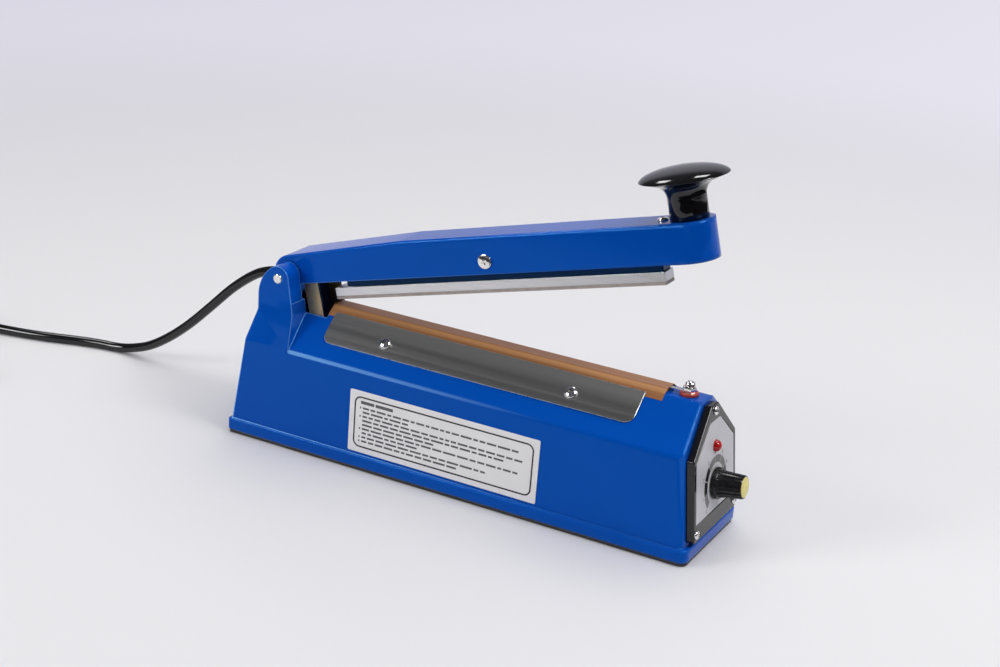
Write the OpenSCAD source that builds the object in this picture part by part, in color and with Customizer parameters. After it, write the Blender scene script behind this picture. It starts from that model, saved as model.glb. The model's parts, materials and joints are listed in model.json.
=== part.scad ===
// Hand-operated impulse bag sealer: a hollow wedge-backed body with a heated
// sealing ledge, a hinged pressing arm, a timer dial and a coiled mains lead.
// Millimetres, +Z up. X runs along the body, from the hinge end (-X) to the
// dial end (+X), -Y is the front, and the origin is under the middle of the body.

/* [Body] */
// Length of the body over the foot flange
body_len = 320; // [310:1:330]
// Width of the body over the foot flange
flange_w = 78; // [76:1:84]
// Height of the foot flange
flange_h = 8; // [6:0.5:9]
// Corner radius of the flange in plan
flange_r = 5; // [3:0.5:7]
// Wall thickness of the housing
wall = 2.6; // [2.2:0.1:3]
// Thickness of the base plate
base_t = 2; // [1.5:0.1:2.5]
// Ledge of the flange outside the front and back faces
flange_step = 2.1; // [1.5:0.1:3]
// Height of the edge where the front face meets the slope
shoulder_z = 64.2; // [60:0.2:68]
// Half width of the body at that edge
shoulder_half = 35.5; // [34:0.1:36.5]
// Height of the flat deck
deck_z = 88.2; // [86:0.1:90]
// Half width of the flat deck
deck_half = 8.2; // [7.6:0.1:9]
// Radius of the long edges
edge_r = 3.5; // [2:0.5:5]
// Lean of the dial end face, degrees
end_lean = 6.35; // [4:0.05:8]
// Setback of the dial end face at the flange top
end_step = 3.4; // [2:0.1:5]

/* [Hinge tower] */
// Distance of the hinge pin from the hinge end of the flange
pivot_in = 28.8; // [28:0.1:30]
// Height of the hinge pin
pivot_z = 107.2; // [106:0.1:109]
// Diameter of the hinge pin
pin_d = 6; // [5:0.1:7]
// Half width over the ears
ear_half = 28; // [27:0.1:30]
// Half width of the space between the ears
ear_gap_half = 15.6; // [15.2:0.1:16.4]
// Distance of the end wall of the tower behind the pin
ear_back = 14.4; // [13.5:0.1:16]
// Radius of the ear round the pin
ear_r = 8; // [7.5:0.1:9]
// Height of the saddle between the ears
saddle_z = 92.5; // [91.5:0.1:94]

/* [Arm] */
// Opening angle of the arm, degrees
open_angle = 14.75; // [14:0.05:15.5]
// Distance of the handle's axis, measured along the arm, from the dial end of the flange
handle_in = 21.4; // [19:0.2:25]
// Half width of the arm
arm_half = 14.5; // [14:0.1:15]
// Wall thickness of the arm
arm_wall = 2; // [1.6:0.1:2.4]
// Depth of the arm below the pin line
arm_below = 7; // [6:0.1:7.6]
// Height of the arm above the pin line
arm_above = 16.1; // [15:0.1:17]
// Height of the arm above the pin, at the pin
arm_rear_above = 11.7; // [11:0.1:12.4]
// Distance of the bend in the arm's back from the pin
arm_bend_u = 85; // [75:1:95]
// Radius of the arm's long top edges
arm_edge_r = 1.6; // [1.2:0.1:2.4]

/* [Handle] */
// Diameter of the handle's cap
handle_d = 51.8; // [46:0.2:56]
// Diameter of the handle's stem
stem_d = 22.4; // [20:0.2:24]
// Height of the handle
handle_h = 30; // [27:0.5:33]

/* [Presser] */
// Length of the pressing bar
bar_len = 220; // [210:1:224]
// Width of the bar's foot
bar_w = 12; // [10:0.2:14]
// Height of the bar's foot
bar_h = 5.5; // [4.5:0.1:6.5]
// Depth of the bar's underside below the pin line
bar_under = 18.2; // [17.4:0.1:19]
// Distance of the bar's screw past the middle of the sealing ledge
bar_shift = 0.85; // [-1:0.05:2]
// Height of the bar's screw above the pin line
bar_v = 1; // [0:0.1:2]
// Diameter of the bar's screw
bar_screw_d = 5; // [4:0.1:6]
// Distance that the bar reaches past its carrier at the hinge end
bar_tail = 6.6; // [5:0.2:8]
// Thickness of the carrier above the bar
web_t = 10; // [8:0.2:11]
// Thickness of the silicone strip
silicone_t = 2; // [1.4:0.1:2.4]
// Width of the silicone strip
silicone_w = 11.4; // [8:0.2:12]

/* [Sealing ledge] */
// Gap between the end of the ledge and the axis of the dial-end terminal
ledge_gap = 12.2; // [11:0.1:14]
// Half width of the ledge's top
ledge_half = 4.5; // [4:0.1:5.2]
// Height of the ledge
ledge_h = 1.8; // [1.4:0.1:2]
// Thickness of the tape under the element
tape_t = 0.2; // [0.1:0.05:0.25]
// Width of the heating element
element_w = 3; // [2:0.1:5]
// Thickness of the heating element
element_t = 0.2; // [0.1:0.05:0.25]
// Thickness of the non-stick cover
cover_t = 0.25; // [0.15:0.05:0.3]
// How much shorter than the ledge the clamp plates are
clamp_short = 15.4; // [12:0.2:20]
// Width of the clamp plates along the slope
clamp_w = 22.2; // [20:0.2:24]
// Shift of the clamp plates towards the hinge from the middle of the ledge
clamp_shift = 2.75; // [0:0.25:4]
// Thickness of the clamp plates
clamp_t = 0.8; // [0.6:0.1:1.2]
// Spacing of the clamp screws
clamp_screw_gap = 127.4; // [120:0.2:140]
// Distance of the dial-end terminal from the dial end of the flange
terminal_in = 23.3; // [22:0.1:26]
// Diameter of the terminal stud
stud_d = 4; // [3:0.1:4.5]

/* [Panel] */
// Height of the bezel off the end face
bezel_h = 5.1; // [4:0.1:6]
// Thickness of the faceplate
faceplate_t = 1; // [0.8:0.1:1.5]
// Height of the dial's axis up the panel
dial_b = 28.4; // [26:0.2:30]
// Height of the lamp up the panel
lamp_b = 51.4; // [50:0.2:53]
// Diameter of the lamp
lamp_d = 5; // [4:0.1:6]
// Diameter of the dial's skirt
dial_d = 17; // [15:0.2:19]
// Height of the dial off the faceplate
dial_h = 18; // [16:0.2:20]
// Diameter of the dial's shaft
shaft_d = 6; // [5:0.1:6.2]
// Diameter of the panel screws
panel_screw_d = 3; // [2.5:0.1:3.5]

/* [Lead] */
// Diameter of the mains lead
cord_d = 6.5; // [6.5:0.1:6.8]
// Length of the strain relief outside the wall
gland_len = 22; // [20:1:24]
// Radius of the coil's outermost turn at mid-cord
coil_r = 43; // [41:0.5:45]
// Turns in each layer of the coil
coil_turns = 2; // [1:1:2]

/* [Hidden] */
$fn = 48;

// Clearances: fixed screws and pins, running pins, and faces that move past each other
slip = 0.02;
run = 0.05;
air = 0.3;

// Body frame: the hinge pin, the dial-end terminal and the handle keep their distance from the flange's ends
pivot_x = body_len/2 - pivot_in;
pivot = [-pivot_x, 0, pivot_z];
terminal_x = body_len/2 - terminal_in;
handle_u = pivot_x + body_len/2 - handle_in;
flange_top = base_t + flange_h;
foot_half = flange_w/2 - flange_step;
body_z0 = flange_top - flange_h/2;
side_rise = shoulder_z - flange_top;
slope_angle = atan2(deck_z - shoulder_z, shoulder_half - deck_half);
slope_len = norm([deck_z - shoulder_z, shoulder_half - deck_half]);

// Hinge end of the body: setback at the flange, a knee, and the upright end wall of the tower
hinge_step = 1.6;
knee_z = 59.5;
knee_out = 5.4;
upright_z = 84;
tower_back = -pivot_x - ear_back;
hinge_foot = -body_len/2 + hinge_step;

// Front of the tower, which leans back towards the hinge
tower_ahead = 14.2;
tower_lean = 7.2;

// Lever channel below the arm, and the slot that it moves in
lever_u = 7.4;
lever_w = 10.8;
lever_t = 1.5;
lever_len = 47;
lever_half = arm_half - arm_wall;
hook_drop = lever_len - 6;
slot_half = lever_half + 0.7;
slot_back = 6.7;
slot_x0 = -pivot_x + lever_u - slot_back;
slot_len = 27.1;
slot_x1 = slot_x0 + slot_len;

// Ledge from the slot to the terminal, and the clamp plates and bar along it
ledge_x1 = terminal_x - ledge_gap;
ledge_mid = (slot_x1 + ledge_x1)/2;
clamp_len = ledge_x1 - slot_x1 - clamp_short;
clamp_x = ledge_mid - clamp_shift;
bar_u = pivot_x + ledge_mid + bar_shift;

// Heights of the layers on the ledge
ledge_top = deck_z + ledge_h;
tape_top = ledge_top + tape_t;
element_top = tape_top + element_t;
cover_top = element_top + cover_t;

// Screws that close the base
base_boss_d = 9;
base_boss_h = 14;
base_boss_x = body_len/2 - 16;
base_boss_y = foot_half - wall - 3.8;
base_screw_d = 3;

function unit(v) = v/norm(v);
function left_normal(a, b) = let (d = unit(b - a)) [-d[1], d[0]];
function prev(pts, i) = pts[(i + len(pts) - 1) % len(pts)];
function next(pts, i) = pts[(i + 1) % len(pts)];

// Counter-clockwise outline moved inwards by d
function inset(pts, d) = [for (i = [0:len(pts) - 1])
  let (n0 = left_normal(prev(pts, i), pts[i]), n1 = left_normal(pts[i], next(pts, i)))
  pts[i] + (n0 + n1)*d/(1 + n0*n1)];

// Open line moved to its left by d
function beside(pts, d) = [for (i = [0:len(pts) - 1])
  let (n0 = left_normal(pts[max(i - 1, 0)], pts[max(i, 1)]),
       n1 = left_normal(pts[min(i, len(pts) - 2)], pts[min(i + 1, len(pts) - 1)]))
  pts[i] + (n0 + n1)*d/(1 + n0*n1)];

// Arc that rounds the corner at p between a and b
function corner(a, p, b, r, steps) = r <= 0 ? [p] :
  let (u = unit(a - p), w = unit(b - p), half = acos(u*w)/2,
       c = p + unit(u + w)*r/sin(half), s = p + u*r/tan(half) - c, e = p + w*r/tan(half) - c,
       a0 = atan2(s[1], s[0]), turn = atan2(s[0]*e[1] - s[1]*e[0], s*e))
  [for (i = [0:steps]) c + r*[cos(a0 + turn*i/steps), sin(a0 + turn*i/steps)]];
function rounded(pts, radii, steps = 5) = [for (i = [0:len(pts) - 1])
  each corner(prev(pts, i), pts[i], next(pts, i), radii[i], steps)];
function arc(c, r, a0, a1, steps = 10) = [for (i = [0:steps])
  c + r*[cos(a0 + (a1 - a0)*i/steps), sin(a0 + (a1 - a0)*i/steps)]];

// Outline in Y and Z drawn along X, and outline in X and Z drawn along Y
module x_prism(pts, x0, x1) {
  translate([x0, 0, 0]) rotate([90, 0, 90]) linear_extrude(x1 - x0) polygon(pts);
}
module y_prism(pts, y0, y1) {
  translate([0, y1, 0]) rotate([90, 0, 0]) linear_extrude(y1 - y0) polygon(pts);
}
module y_rod(d, x, z, y0, y1) {
  translate([x, y1, z]) rotate([90, 0, 0]) cylinder(d = d, h = y1 - y0);
}
module both_sides() {
  children();
  mirror([0, 1, 0]) children();
}
module hexagon(across, h) {
  cylinder(d = across/cos(30), h = h, $fn = 6);
}
// Domed screw head of diameter d and height h, seated on z = 0
module dome_head(d, h) {
  r = (d*d/4 + h*h)/(2*h);
  intersection() {
    translate([0, 0, h - r]) sphere(r);
    cylinder(d = d + 1, h = h + 1);
  }
}

// Frames: on the sloped front facet, on the dial end face, and on the arm
module on_slope() {
  translate([0, -shoulder_half, shoulder_z]) rotate([slope_angle, 0, 0]) children();
}
module on_panel() {
  translate([body_len/2 - end_step, 0, flange_top]) rotate([0, -end_lean, 0]) rotate([90, 0, 90]) children();
}
module on_arm() {
  translate(pivot) rotate([0, -open_angle, 0]) children();
}

// Half width of the body's side, hinge-end line, dial-end line and tower front at height z
function side_y(z) = foot_half - (z - flange_top)*(foot_half - shoulder_half)/side_rise;
function hinge_end_x(z) = hinge_foot + (z - flange_top)*(tower_back - knee_out - hinge_foot)/(knee_z - flange_top);
function dial_end_x(z) = body_len/2 - end_step - (z - flange_top)*tan(end_lean);
function tower_front_x(z) = -pivot_x + tower_ahead - (z - shoulder_z)*tan(tower_lean);

function body_profile(z0) = [[-side_y(z0), z0], [side_y(z0), z0], [shoulder_half, shoulder_z],
  [deck_half, deck_z], [-deck_half, deck_z], [-shoulder_half, shoulder_z]];
// The tower's sides draw in above the shoulder to upright ears
crease_z = shoulder_z + 0.6;
ear_foot_z = 85;
function tower_profile(z0) = [[-side_y(z0), z0], [side_y(z0), z0], [side_y(crease_z), crease_z],
  [ear_half, ear_foot_z], [ear_half, saddle_z], [-ear_half, saddle_z],
  [-ear_half, ear_foot_z], [-side_y(crease_z), crease_z]];
function whole_side(z0) = [[hinge_end_x(z0), z0], [dial_end_x(z0), z0], [dial_end_x(saddle_z), saddle_z],
  [tower_back, saddle_z], [tower_back, upright_z], [tower_back - knee_out, knee_z]];

// Space above the sloped facets and the deck in front of the tower, taken d lower and further back inside
function shoulder_line(p, r) = r > 0 ?
  let (c = corner(p[1], p[2], p[3], r, 5))
  concat([c[0] + [20, 0], c[0] + [0.05, 0]], [for (i = [1:5]) c[i]], corner(p[2], p[3], p[4], r, 5)) :
  [p[2] + 20*unit(p[2] - p[3]), p[3]];
function mirrored(pts) = [for (i = [len(pts) - 1:-1:0]) [-pts[i][0], pts[i][1]]];
module above_body(d, r) {
  line = shoulder_line(inset(body_profile(base_t), d), r);
  back = d/cos(tower_lean);
  low = shoulder_z - 30;
  high = 2*pivot_z;
  intersection() {
    x_prism(concat(line, mirrored(line), [[-flange_w, high], [flange_w, high]]), -body_len, body_len);
    y_prism([[tower_front_x(low) - back, low], [body_len, low], [body_len, high], [tower_front_x(high) - back, high]],
      -flange_w, flange_w);
  }
}
module body_solid(z0, d, r) {
  difference() {
    intersection() {
      x_prism(inset(tower_profile(z0), d), -body_len, body_len);
      y_prism(inset(whole_side(z0), d), -flange_w, flange_w);
    }
    above_body(d, r);
  }
}
ear_root_z = saddle_z - wall;
// The ear runs round the pin and on in a wide sweep to the end wall
sweep_r = 24;
sweep_out = sweep_r - ear_back;
sweep_drop = sqrt((sweep_r - ear_r)^2 - sweep_out^2);
sweep_a = 90 + atan2(sweep_out, sweep_drop);
ear_sweep = arc([sweep_out - pivot_x, pivot_z - sweep_drop], sweep_r, sweep_a, 180);
ear_outline = concat([[tower_back, ear_root_z], [tower_front_x(ear_root_z), ear_root_z]],
  arc([-pivot_x, pivot_z], ear_r, 0, sweep_a), [for (i = [1:len(ear_sweep) - 1]) ear_sweep[i]]);

// Tool that rounds an upright edge through p, between faces with outward normals n1 and n2
side_lean = atan2(foot_half - shoulder_half, side_rise);
hinge_lean = atan2(tower_back - knee_out - hinge_foot, knee_z - flange_top);
dial_corner_r = 3.5;
hinge_corner_r = 1.2;
module edge_round(p, n1, n2, r) {
  e = unit(cross(n1, n2));
  b = cross(e, n1);
  m = [n2*n1, n2*b];
  d1 = m[1] > 0 ? [0, -1] : [0, 1];
  d2 = m[1] > 0 ? [-m[1], m[0]] : [m[1], -m[0]];
  cut = corner(10*d1, [0, 0], 10*d2, r, 6);
  multmatrix([[n1[0], b[0], e[0], p[0]], [n1[1], b[1], e[1], p[1]], [n1[2], b[2], e[2], p[2]], [0, 0, 0, 1]])
    translate([0, 0, -deck_z]) linear_extrude(2*deck_z)
      polygon(concat([cut[0] + [0.05, 0]], [for (i = [1:len(cut) - 2]) cut[i]], [cut[len(cut) - 1] + 0.05*m],
        [cut[len(cut) - 1] + 2*m, 3*([1, 0] + m), cut[0] + [2, 0]]));
}
module body_edges() {
  side = [0, -cos(side_lean), sin(side_lean)];
  both_sides() {
    edge_round([body_len/2 - end_step, -foot_half, flange_top], side, [cos(end_lean), 0, sin(end_lean)], dial_corner_r);
    edge_round([hinge_foot, -foot_half, flange_top], side, [-cos(hinge_lean), 0, sin(hinge_lean)], hinge_corner_r);
  }
}

// The flange's corners are rounder at the dial end than at the hinge end
flange_hinge_r = 1.8;
module flange_end(r, grow, h) {
  x = body_len/2 - r;
  y = flange_w/2 - r;
  both_sides() translate([x, y, 0]) cylinder(r = r + grow, h = h);
  translate([x - flange_r, -y, 0]) cube([r + flange_r + grow, 2*y, h]);
}
module flange_plate(grow, h) {
  x0 = body_len/2 - flange_hinge_r;
  x1 = body_len/2 - flange_r;
  y = flange_w/2 + grow;
  union() {
    flange_end(flange_r, grow, h);
    mirror([1, 0, 0]) flange_end(flange_hinge_r, grow, h);
    translate([-x0, -y, 0]) cube([x0 + x1, 2*y, h]);
  }
}
module base_screw_places() {
  for (sx = [-1, 1], sy = [-1, 1]) translate([sx*base_boss_x, sy*base_boss_y, 0]) children();
}

// Lead outlet: point on the end wall of the back ear, direction and sizes of the strain relief
gland_dip = 14;
gland_d = 12;
gland_tip_d = 8;
gland_seat = wall + 1;
gland_drop = 10;
gland_at = [tower_back, (ear_half + ear_gap_half)/2, pivot_z - gland_drop];
gland_dir = [-cos(gland_dip), 0, -sin(gland_dip)];
gland_tip = gland_at + gland_len*gland_dir;
module on_gland() {
  translate(gland_at) rotate([0, -90 - gland_dip, 0]) children();
}

// Dial end panel: outlines in the panel's own plane, and screw places
faceplate_pts = [[-28.8, 12.8], [28.8, 12.8], [28, 49.2], [7.4, 66.9], [-7.4, 66.9], [-28, 49.2]];
bezel_pts = [[-32, 2], [32, 2], [31.4, 51.6], [5, 76.5], [-5, 76.5], [-31.4, 51.6]];
panel_rim = 3;
panel_screw_pts = [[0, 72.6], [-28.6, 7], [28.6, 7]];
face_z = bezel_h - faceplate_t;

// Clamp plates: upper edge below the deck edge, screw line, and free corners
clamp_gap = 1.75;
clamp_s1 = slope_len - clamp_gap;
clamp_s0 = clamp_s1 - clamp_w;
clamp_screw_s = clamp_s0 + 9.3;
clamp_corner_r = 6;
clamp_screw_d = 3.4;
clamp_head_d = 7;
module clamp_screw_places() {
  for (sx = [-1, 1]) translate([clamp_x + sx*clamp_screw_gap/2, clamp_screw_s, 0]) children();
}

// Terminal stack at the dial end
bush_d = 11;
bush_neck_d = 6.6;
nut_across = 7;
nut_h = 3.2;

module housing() {
  color("royalblue") difference() {
    union() {
      translate([0, 0, base_t]) flange_plate(0, flange_h);
      difference() {
        body_solid(body_z0, 0, edge_r);
        body_edges();
      }
      both_sides() y_prism(ear_outline, ear_gap_half, ear_half);
    }
    difference() {
      body_solid(-flange_h, wall, 0);
      translate([0, 0, base_t]) base_screw_places() cylinder(d = base_boss_d, h = base_boss_h);
    }
    translate([slot_x0, -slot_half, shoulder_z]) cube([slot_x1 - slot_x0, 2*slot_half, pivot_z]);
    both_sides() y_rod(pin_d + 2*slip, -pivot_x, pivot_z, 0, flange_w);
    base_screw_places() cylinder(d = base_screw_d + 2*slip, h = base_t + base_boss_h - 2);
    on_gland() translate([0, 0, -gland_seat - 1]) cylinder(d = gland_d + 2*slip, h = gland_seat + 8);
    translate([tower_back + wall, gland_at[1] - cord_d/2 - 1, ear_root_z - wall])
      cube([ear_back - wall - pin_d/2 - 2, cord_d + 2, gland_at[2] + 2 - ear_root_z + wall]);
    both_sides() on_slope() clamp_screw_places() translate([0, 0, -2*wall])
      cylinder(d = clamp_screw_d + 2*slip, h = 4*wall);
    translate([terminal_x, 0, deck_z - 2*wall]) cylinder(d = bush_neck_d + 2*slip, h = 3*wall);
    on_panel() translate([0, 0, -3*wall]) linear_extrude(6*wall) polygon(inset(faceplate_pts, panel_rim + 1));
    on_panel() for (p = panel_screw_pts) translate([p[0], p[1], -3*wall])
      cylinder(d = panel_screw_d + 2*slip, h = 6*wall);
  }
}

// Base plate with countersunk screws; it stands on its flat underside
base_inset = 0.8;
base_head_d = 6.4;
base_head_h = 1.6;
transformer_x = 20;
core_len = 60;
strap_hole_gap = core_len + 16;
strap_screw_d = 4;
strap_head_h = 1.6;
strap_head_d = 7.6;
anchor_x = -pivot_x + 60;
module strap_places() {
  for (sx = [-1, 1]) translate([transformer_x + sx*strap_hole_gap/2, 0, 0]) children();
}
module base_plate() {
  color("dimgray") difference() {
    flange_plate(-base_inset, base_t);
    base_screw_places() {
      translate([0, 0, -1]) cylinder(d = base_screw_d + 2*slip, h = base_t + 2);
      cylinder(d1 = base_head_d + 2*slip, d2 = base_screw_d + 2*slip, h = base_head_h);
    }
    strap_places() {
      translate([0, 0, -1]) cylinder(d = strap_screw_d + 2*slip, h = base_t + 2);
      cylinder(d1 = strap_head_d + 2*slip, d2 = strap_screw_d + 2*slip, h = strap_head_h);
    }
  }
}
module base_screws() {
  color("silver") base_screw_places() union() {
    cylinder(d1 = base_head_d, d2 = base_screw_d, h = base_head_h);
    cylinder(d = base_screw_d, h = base_t + base_boss_h - 3);
  }
}

// Plate for the label on the front face
label_x0 = -69.3;
label_len = 131.6;
label_z0 = 11.6;
label_w = 40.4;
label_t = 0.4;
module label_plate() {
  color("whitesmoke") translate([label_x0, -side_y(label_z0), label_z0]) rotate([90 - side_lean, 0, 0])
    linear_extrude(label_t) polygon(rounded([[0, 0], [label_len, 0], [label_len, label_w], [0, label_w]],
      [1, 1, 1, 1]));
}

module control_bezel() {
  color("black") on_panel() difference() {
    linear_extrude(bezel_h) polygon(rounded(bezel_pts, [2, 2, 2, 2, 2, 2]));
    translate([0, 0, -1]) linear_extrude(bezel_h + 2) polygon(inset(faceplate_pts, panel_rim));
    translate([0, 0, face_z]) linear_extrude(bezel_h) polygon(faceplate_pts);
    for (p = panel_screw_pts) translate([p[0], p[1], -1]) cylinder(d = panel_screw_d + 2*slip, h = bezel_h + 2);
  }
}

bushing_d = 7;
module faceplate() {
  color("lightgray") on_panel() translate([0, 0, face_z]) difference() {
    linear_extrude(faceplate_t) polygon(inset(faceplate_pts, 2*slip));
    translate([0, dial_b, -1]) cylinder(d = bushing_d + 2*slip, h = faceplate_t + 2);
    translate([0, lamp_b, -1]) cylinder(d = lamp_d + 2*slip, h = faceplate_t + 2);
  }
}
panel_head_d = 5.4;
panel_head_h = 1.7;
module panel_screws() {
  color("silver") on_panel() for (p = panel_screw_pts) translate([p[0], p[1], 0]) union() {
    translate([0, 0, bezel_h]) dome_head(panel_head_d, panel_head_h);
    translate([0, 0, -wall - 3]) cylinder(d = panel_screw_d, h = bezel_h + wall + 3.2);
  }
}

// Timer: potentiometer behind the faceplate, soldered to the circuit board
pot_d = 16;
pot_depth = 8;
bushing_h = 4.5;
board_t = 1.6;
board_z = face_z - pot_depth - board_t;
lamp_flange_h = 1;
module indicator_lamp() {
  color("red") on_panel() translate([0, lamp_b, 0]) union() {
    translate([0, 0, face_z - 4]) cylinder(d = lamp_d, h = faceplate_t + 5.2);
    translate([0, 0, face_z + faceplate_t + 1.2]) sphere(d = lamp_d);
    translate([0, 0, face_z - lamp_flange_h]) cylinder(d = lamp_d + 1, h = lamp_flange_h);
    for (sx = [-1, 1]) translate([sx*lamp_d/4, 0, board_z + board_t]) cylinder(d = 0.6, h = pot_depth - 3, $fn = 16);
  }
}
module timer_pot() {
  color("slategray") on_panel() translate([0, dial_b, 0]) difference() {
    union() {
      translate([0, 0, face_z - pot_depth]) cylinder(d = pot_d, h = pot_depth);
      translate([0, 0, face_z - 1]) cylinder(d = bushing_d, h = faceplate_t + bushing_h + 1);
    }
    translate([0, 0, face_z - pot_depth/2]) cylinder(d = shaft_d + 2*run, h = pot_depth + bushing_h);
  }
}
pot_nut_across = 10;
pot_nut_h = 2;
module pot_nut() {
  color("silver") on_panel() translate([0, dial_b, bezel_h]) difference() {
    hexagon(pot_nut_across, pot_nut_h);
    translate([0, 0, -1]) cylinder(d = bushing_d + 2*slip, h = pot_nut_h + 2);
  }
}
cap_d = 12.4;
cap_h = 1.2;
shaft_top = bezel_h + dial_h - cap_h - 2;
module pot_shaft() {
  color("silver") on_panel() translate([0, dial_b, face_z - pot_depth/2 + air])
    cylinder(d = shaft_d, h = shaft_top - face_z + pot_depth/2 - air);
}
// Dial with a skirt, a fluted barrel and a coloured cap
skirt_h = 3;
barrel_d = 14;
flutes = 18;
flute_d = 1.5;
module timer_knob() {
  color("black") on_panel() translate([0, dial_b, bezel_h + air]) difference() {
    union() {
      cylinder(d1 = dial_d, d2 = dial_d - 1.4, h = skirt_h);
      cylinder(d1 = barrel_d, d2 = barrel_d - 0.6, h = dial_h - air);
    }
    for (i = [0:flutes - 1]) rotate([0, 0, i*360/flutes]) translate([barrel_d/2 + 0.15, 0, skirt_h])
      cylinder(d = flute_d, h = dial_h, $fn = 16);
    translate([0, 0, -1]) cylinder(d = pot_nut_across/cos(30) + 1, h = pot_nut_h + 1 + air);
    translate([0, 0, -1]) cylinder(d = bushing_d + 2*air, h = bushing_h + 1 + air);
    translate([0, 0, -1]) cylinder(d = shaft_d + 2*slip, h = shaft_top - bezel_h - air + 1 + slip);
    translate([0, 0, dial_h - air - cap_h]) cylinder(d = cap_d - 1 + 2*slip, h = cap_h + 1);
  }
}
module knob_cap() {
  color("gold") on_panel() translate([0, dial_b, bezel_h + dial_h - cap_h]) union() {
    cylinder(d = cap_d - 1, h = cap_h);
    translate([0, 0, cap_h]) cylinder(d1 = cap_d - 1, d2 = cap_d - 2.4, h = 0.5);
  }
}
board_w = 44;
board_h = 48;
board_b = 8;
module circuit_board() {
  color("darkgreen") on_panel() translate([-board_w/2, board_b, board_z]) cube([board_w, board_h, board_t]);
}
module board_parts() {
  color("dimgray") on_panel() translate([0, board_b, board_z]) union() {
    translate([-18, 6, -15]) cube([16, 20, 15]);
    translate([10, 12, -16]) cylinder(d = 10, h = 16);
    translate([10, 28, -12]) cylinder(d = 8, h = 12);
    translate([-16, 34, -5]) cube([22, 8, 5]);
  }
}

// Transformer on the base plate: laminated core, winding, and a strap with two screws
core_w = 32;
core_h = 48;
coil_len = 34;
coil_w = 52;
coil_h = 30;
strap_t = 1.5;
strap_w = 18;
strap_lug = 6;
module transformer_core() {
  color("slategray") translate([transformer_x, 0, base_t]) difference() {
    translate([-core_len/2, -core_w/2, 0]) cube([core_len, core_w, core_h]);
    for (sx = [-1, 1]) translate([sx*(coil_len/2 + 10)/2 - (coil_len/2 - 10)/2, -core_w, (core_h - coil_h)/2])
      cube([coil_len/2 - 10, 2*core_w, coil_h]);
  }
}
module transformer_coil() {
  color("goldenrod") translate([transformer_x, 0, base_t + (core_h - coil_h)/2]) difference() {
    translate([-coil_len/2 + slip, -coil_w/2, slip]) cube([coil_len - 2*slip, coil_w, coil_h - 2*slip]);
    translate([-10 - slip, -core_w/2 - slip, -1]) cube([20 + 2*slip, core_w + 2*slip, coil_h + 2]);
    for (sx = [-1, 1]) translate([sx*coil_len - coil_len/2, -core_w/2 - slip, -1])
      cube([0.01, core_w + 2*slip, coil_h + 2]);
  }
}
module transformer_strap() {
  out = strap_hole_gap/2 + strap_lug;
  x = core_len/2;
  outer = [[-out, 0], [-x, 0], [-x, core_h], [x, core_h], [x, 0], [out, 0]];
  color("silver") translate([transformer_x, 0, base_t]) difference() {
    y_prism(concat(outer, [[out, strap_t], [x + strap_t, strap_t], [x + strap_t, core_h + strap_t],
      [-x - strap_t, core_h + strap_t], [-x - strap_t, strap_t], [-out, strap_t]]), -strap_w/2, strap_w/2);
    for (sx = [-1, 1]) translate([sx*strap_hole_gap/2, 0, -1])
      cylinder(d = strap_screw_d + 2*slip, h = strap_t + 2);
  }
}
module transformer_screws() {
  color("silver") strap_places() union() {
    cylinder(d1 = strap_head_d, d2 = strap_screw_d, h = strap_head_h);
    cylinder(d = strap_screw_d, h = base_t + strap_t + 5);
    translate([0, 0, base_t + strap_t]) hexagon(7, 3);
  }
}

// Sealing ledge with tape, heating element and non-stick cover
module sealing_ledge() {
  color("peru") x_prism([[-ledge_half - 0.6, deck_z], [ledge_half + 0.6, deck_z], [ledge_half, ledge_top],
    [-ledge_half, ledge_top]], slot_x1, ledge_x1);
}
module insulating_tape() {
  color("tan") translate([slot_x1, -ledge_half, ledge_top]) cube([ledge_x1 - slot_x1, 2*ledge_half, tape_t]);
}
block_len = 8;
block_w = 12;
block_h = 10;
block_top = deck_z - wall;
block_screw_z = block_top - block_h/2;
block_screw_d = 3;
eyelet_d = 8;
module heating_element() {
  tail_z = block_screw_z - 3.5;
  color("silver") difference() {
    union() {
      translate([slot_x1 - element_t, -element_w/2, tape_top])
        cube([terminal_x - slot_x1 + element_t, element_w, element_t]);
      translate([slot_x1 - element_t, -element_w/2, block_screw_z]) cube([element_t, element_w, tape_top - block_screw_z]);
      translate([slot_x1 - element_t, -3.5, tail_z]) cube([element_t, 7, 7]);
      translate([terminal_x, 0, tape_top]) cylinder(d = eyelet_d, h = element_t);
    }
    translate([terminal_x, 0, tape_top - 1]) cylinder(d = stud_d + 2*slip, h = element_t + 2);
    translate([slot_x1 - 1, 0, block_screw_z]) rotate([0, 90, 0]) cylinder(d = block_screw_d + 2*slip, h = 2);
  }
}
cover_flap = 4.6;
cover_over = 0.5;
cover_line = [[-deck_half - cover_flap*cos(slope_angle), deck_z - cover_flap*sin(slope_angle)],
  [-deck_half, deck_z], [-ledge_half, element_top], [ledge_half, element_top],
  [deck_half, deck_z], [deck_half + cover_flap*cos(slope_angle), deck_z - cover_flap*sin(slope_angle)]];
module ptfe_cover() {
  top = beside(cover_line, cover_t);
  color("peru") x_prism(concat(cover_line, [for (i = [len(top) - 1:-1:0]) top[i]]), slot_x1, ledge_x1 + cover_over);
}
module clamp_plate() {
  x0 = clamp_x - clamp_len/2;
  x1 = clamp_x + clamp_len/2;
  on_slope() translate([0, 0, cover_t]) difference() {
    linear_extrude(clamp_t) polygon(rounded([[x0, clamp_s0], [x1, clamp_s0], [x1, clamp_s1], [x0, clamp_s1]],
      [clamp_corner_r, clamp_corner_r, 0, 0]));
    clamp_screw_places() translate([0, 0, -1]) cylinder(d = clamp_screw_d + 2*slip, h = clamp_t + 2);
  }
}
module front_clamp_plate() {
  color("dimgray") clamp_plate();
}
module rear_clamp_plate() {
  color("dimgray") mirror([0, 1, 0]) clamp_plate();
}
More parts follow.
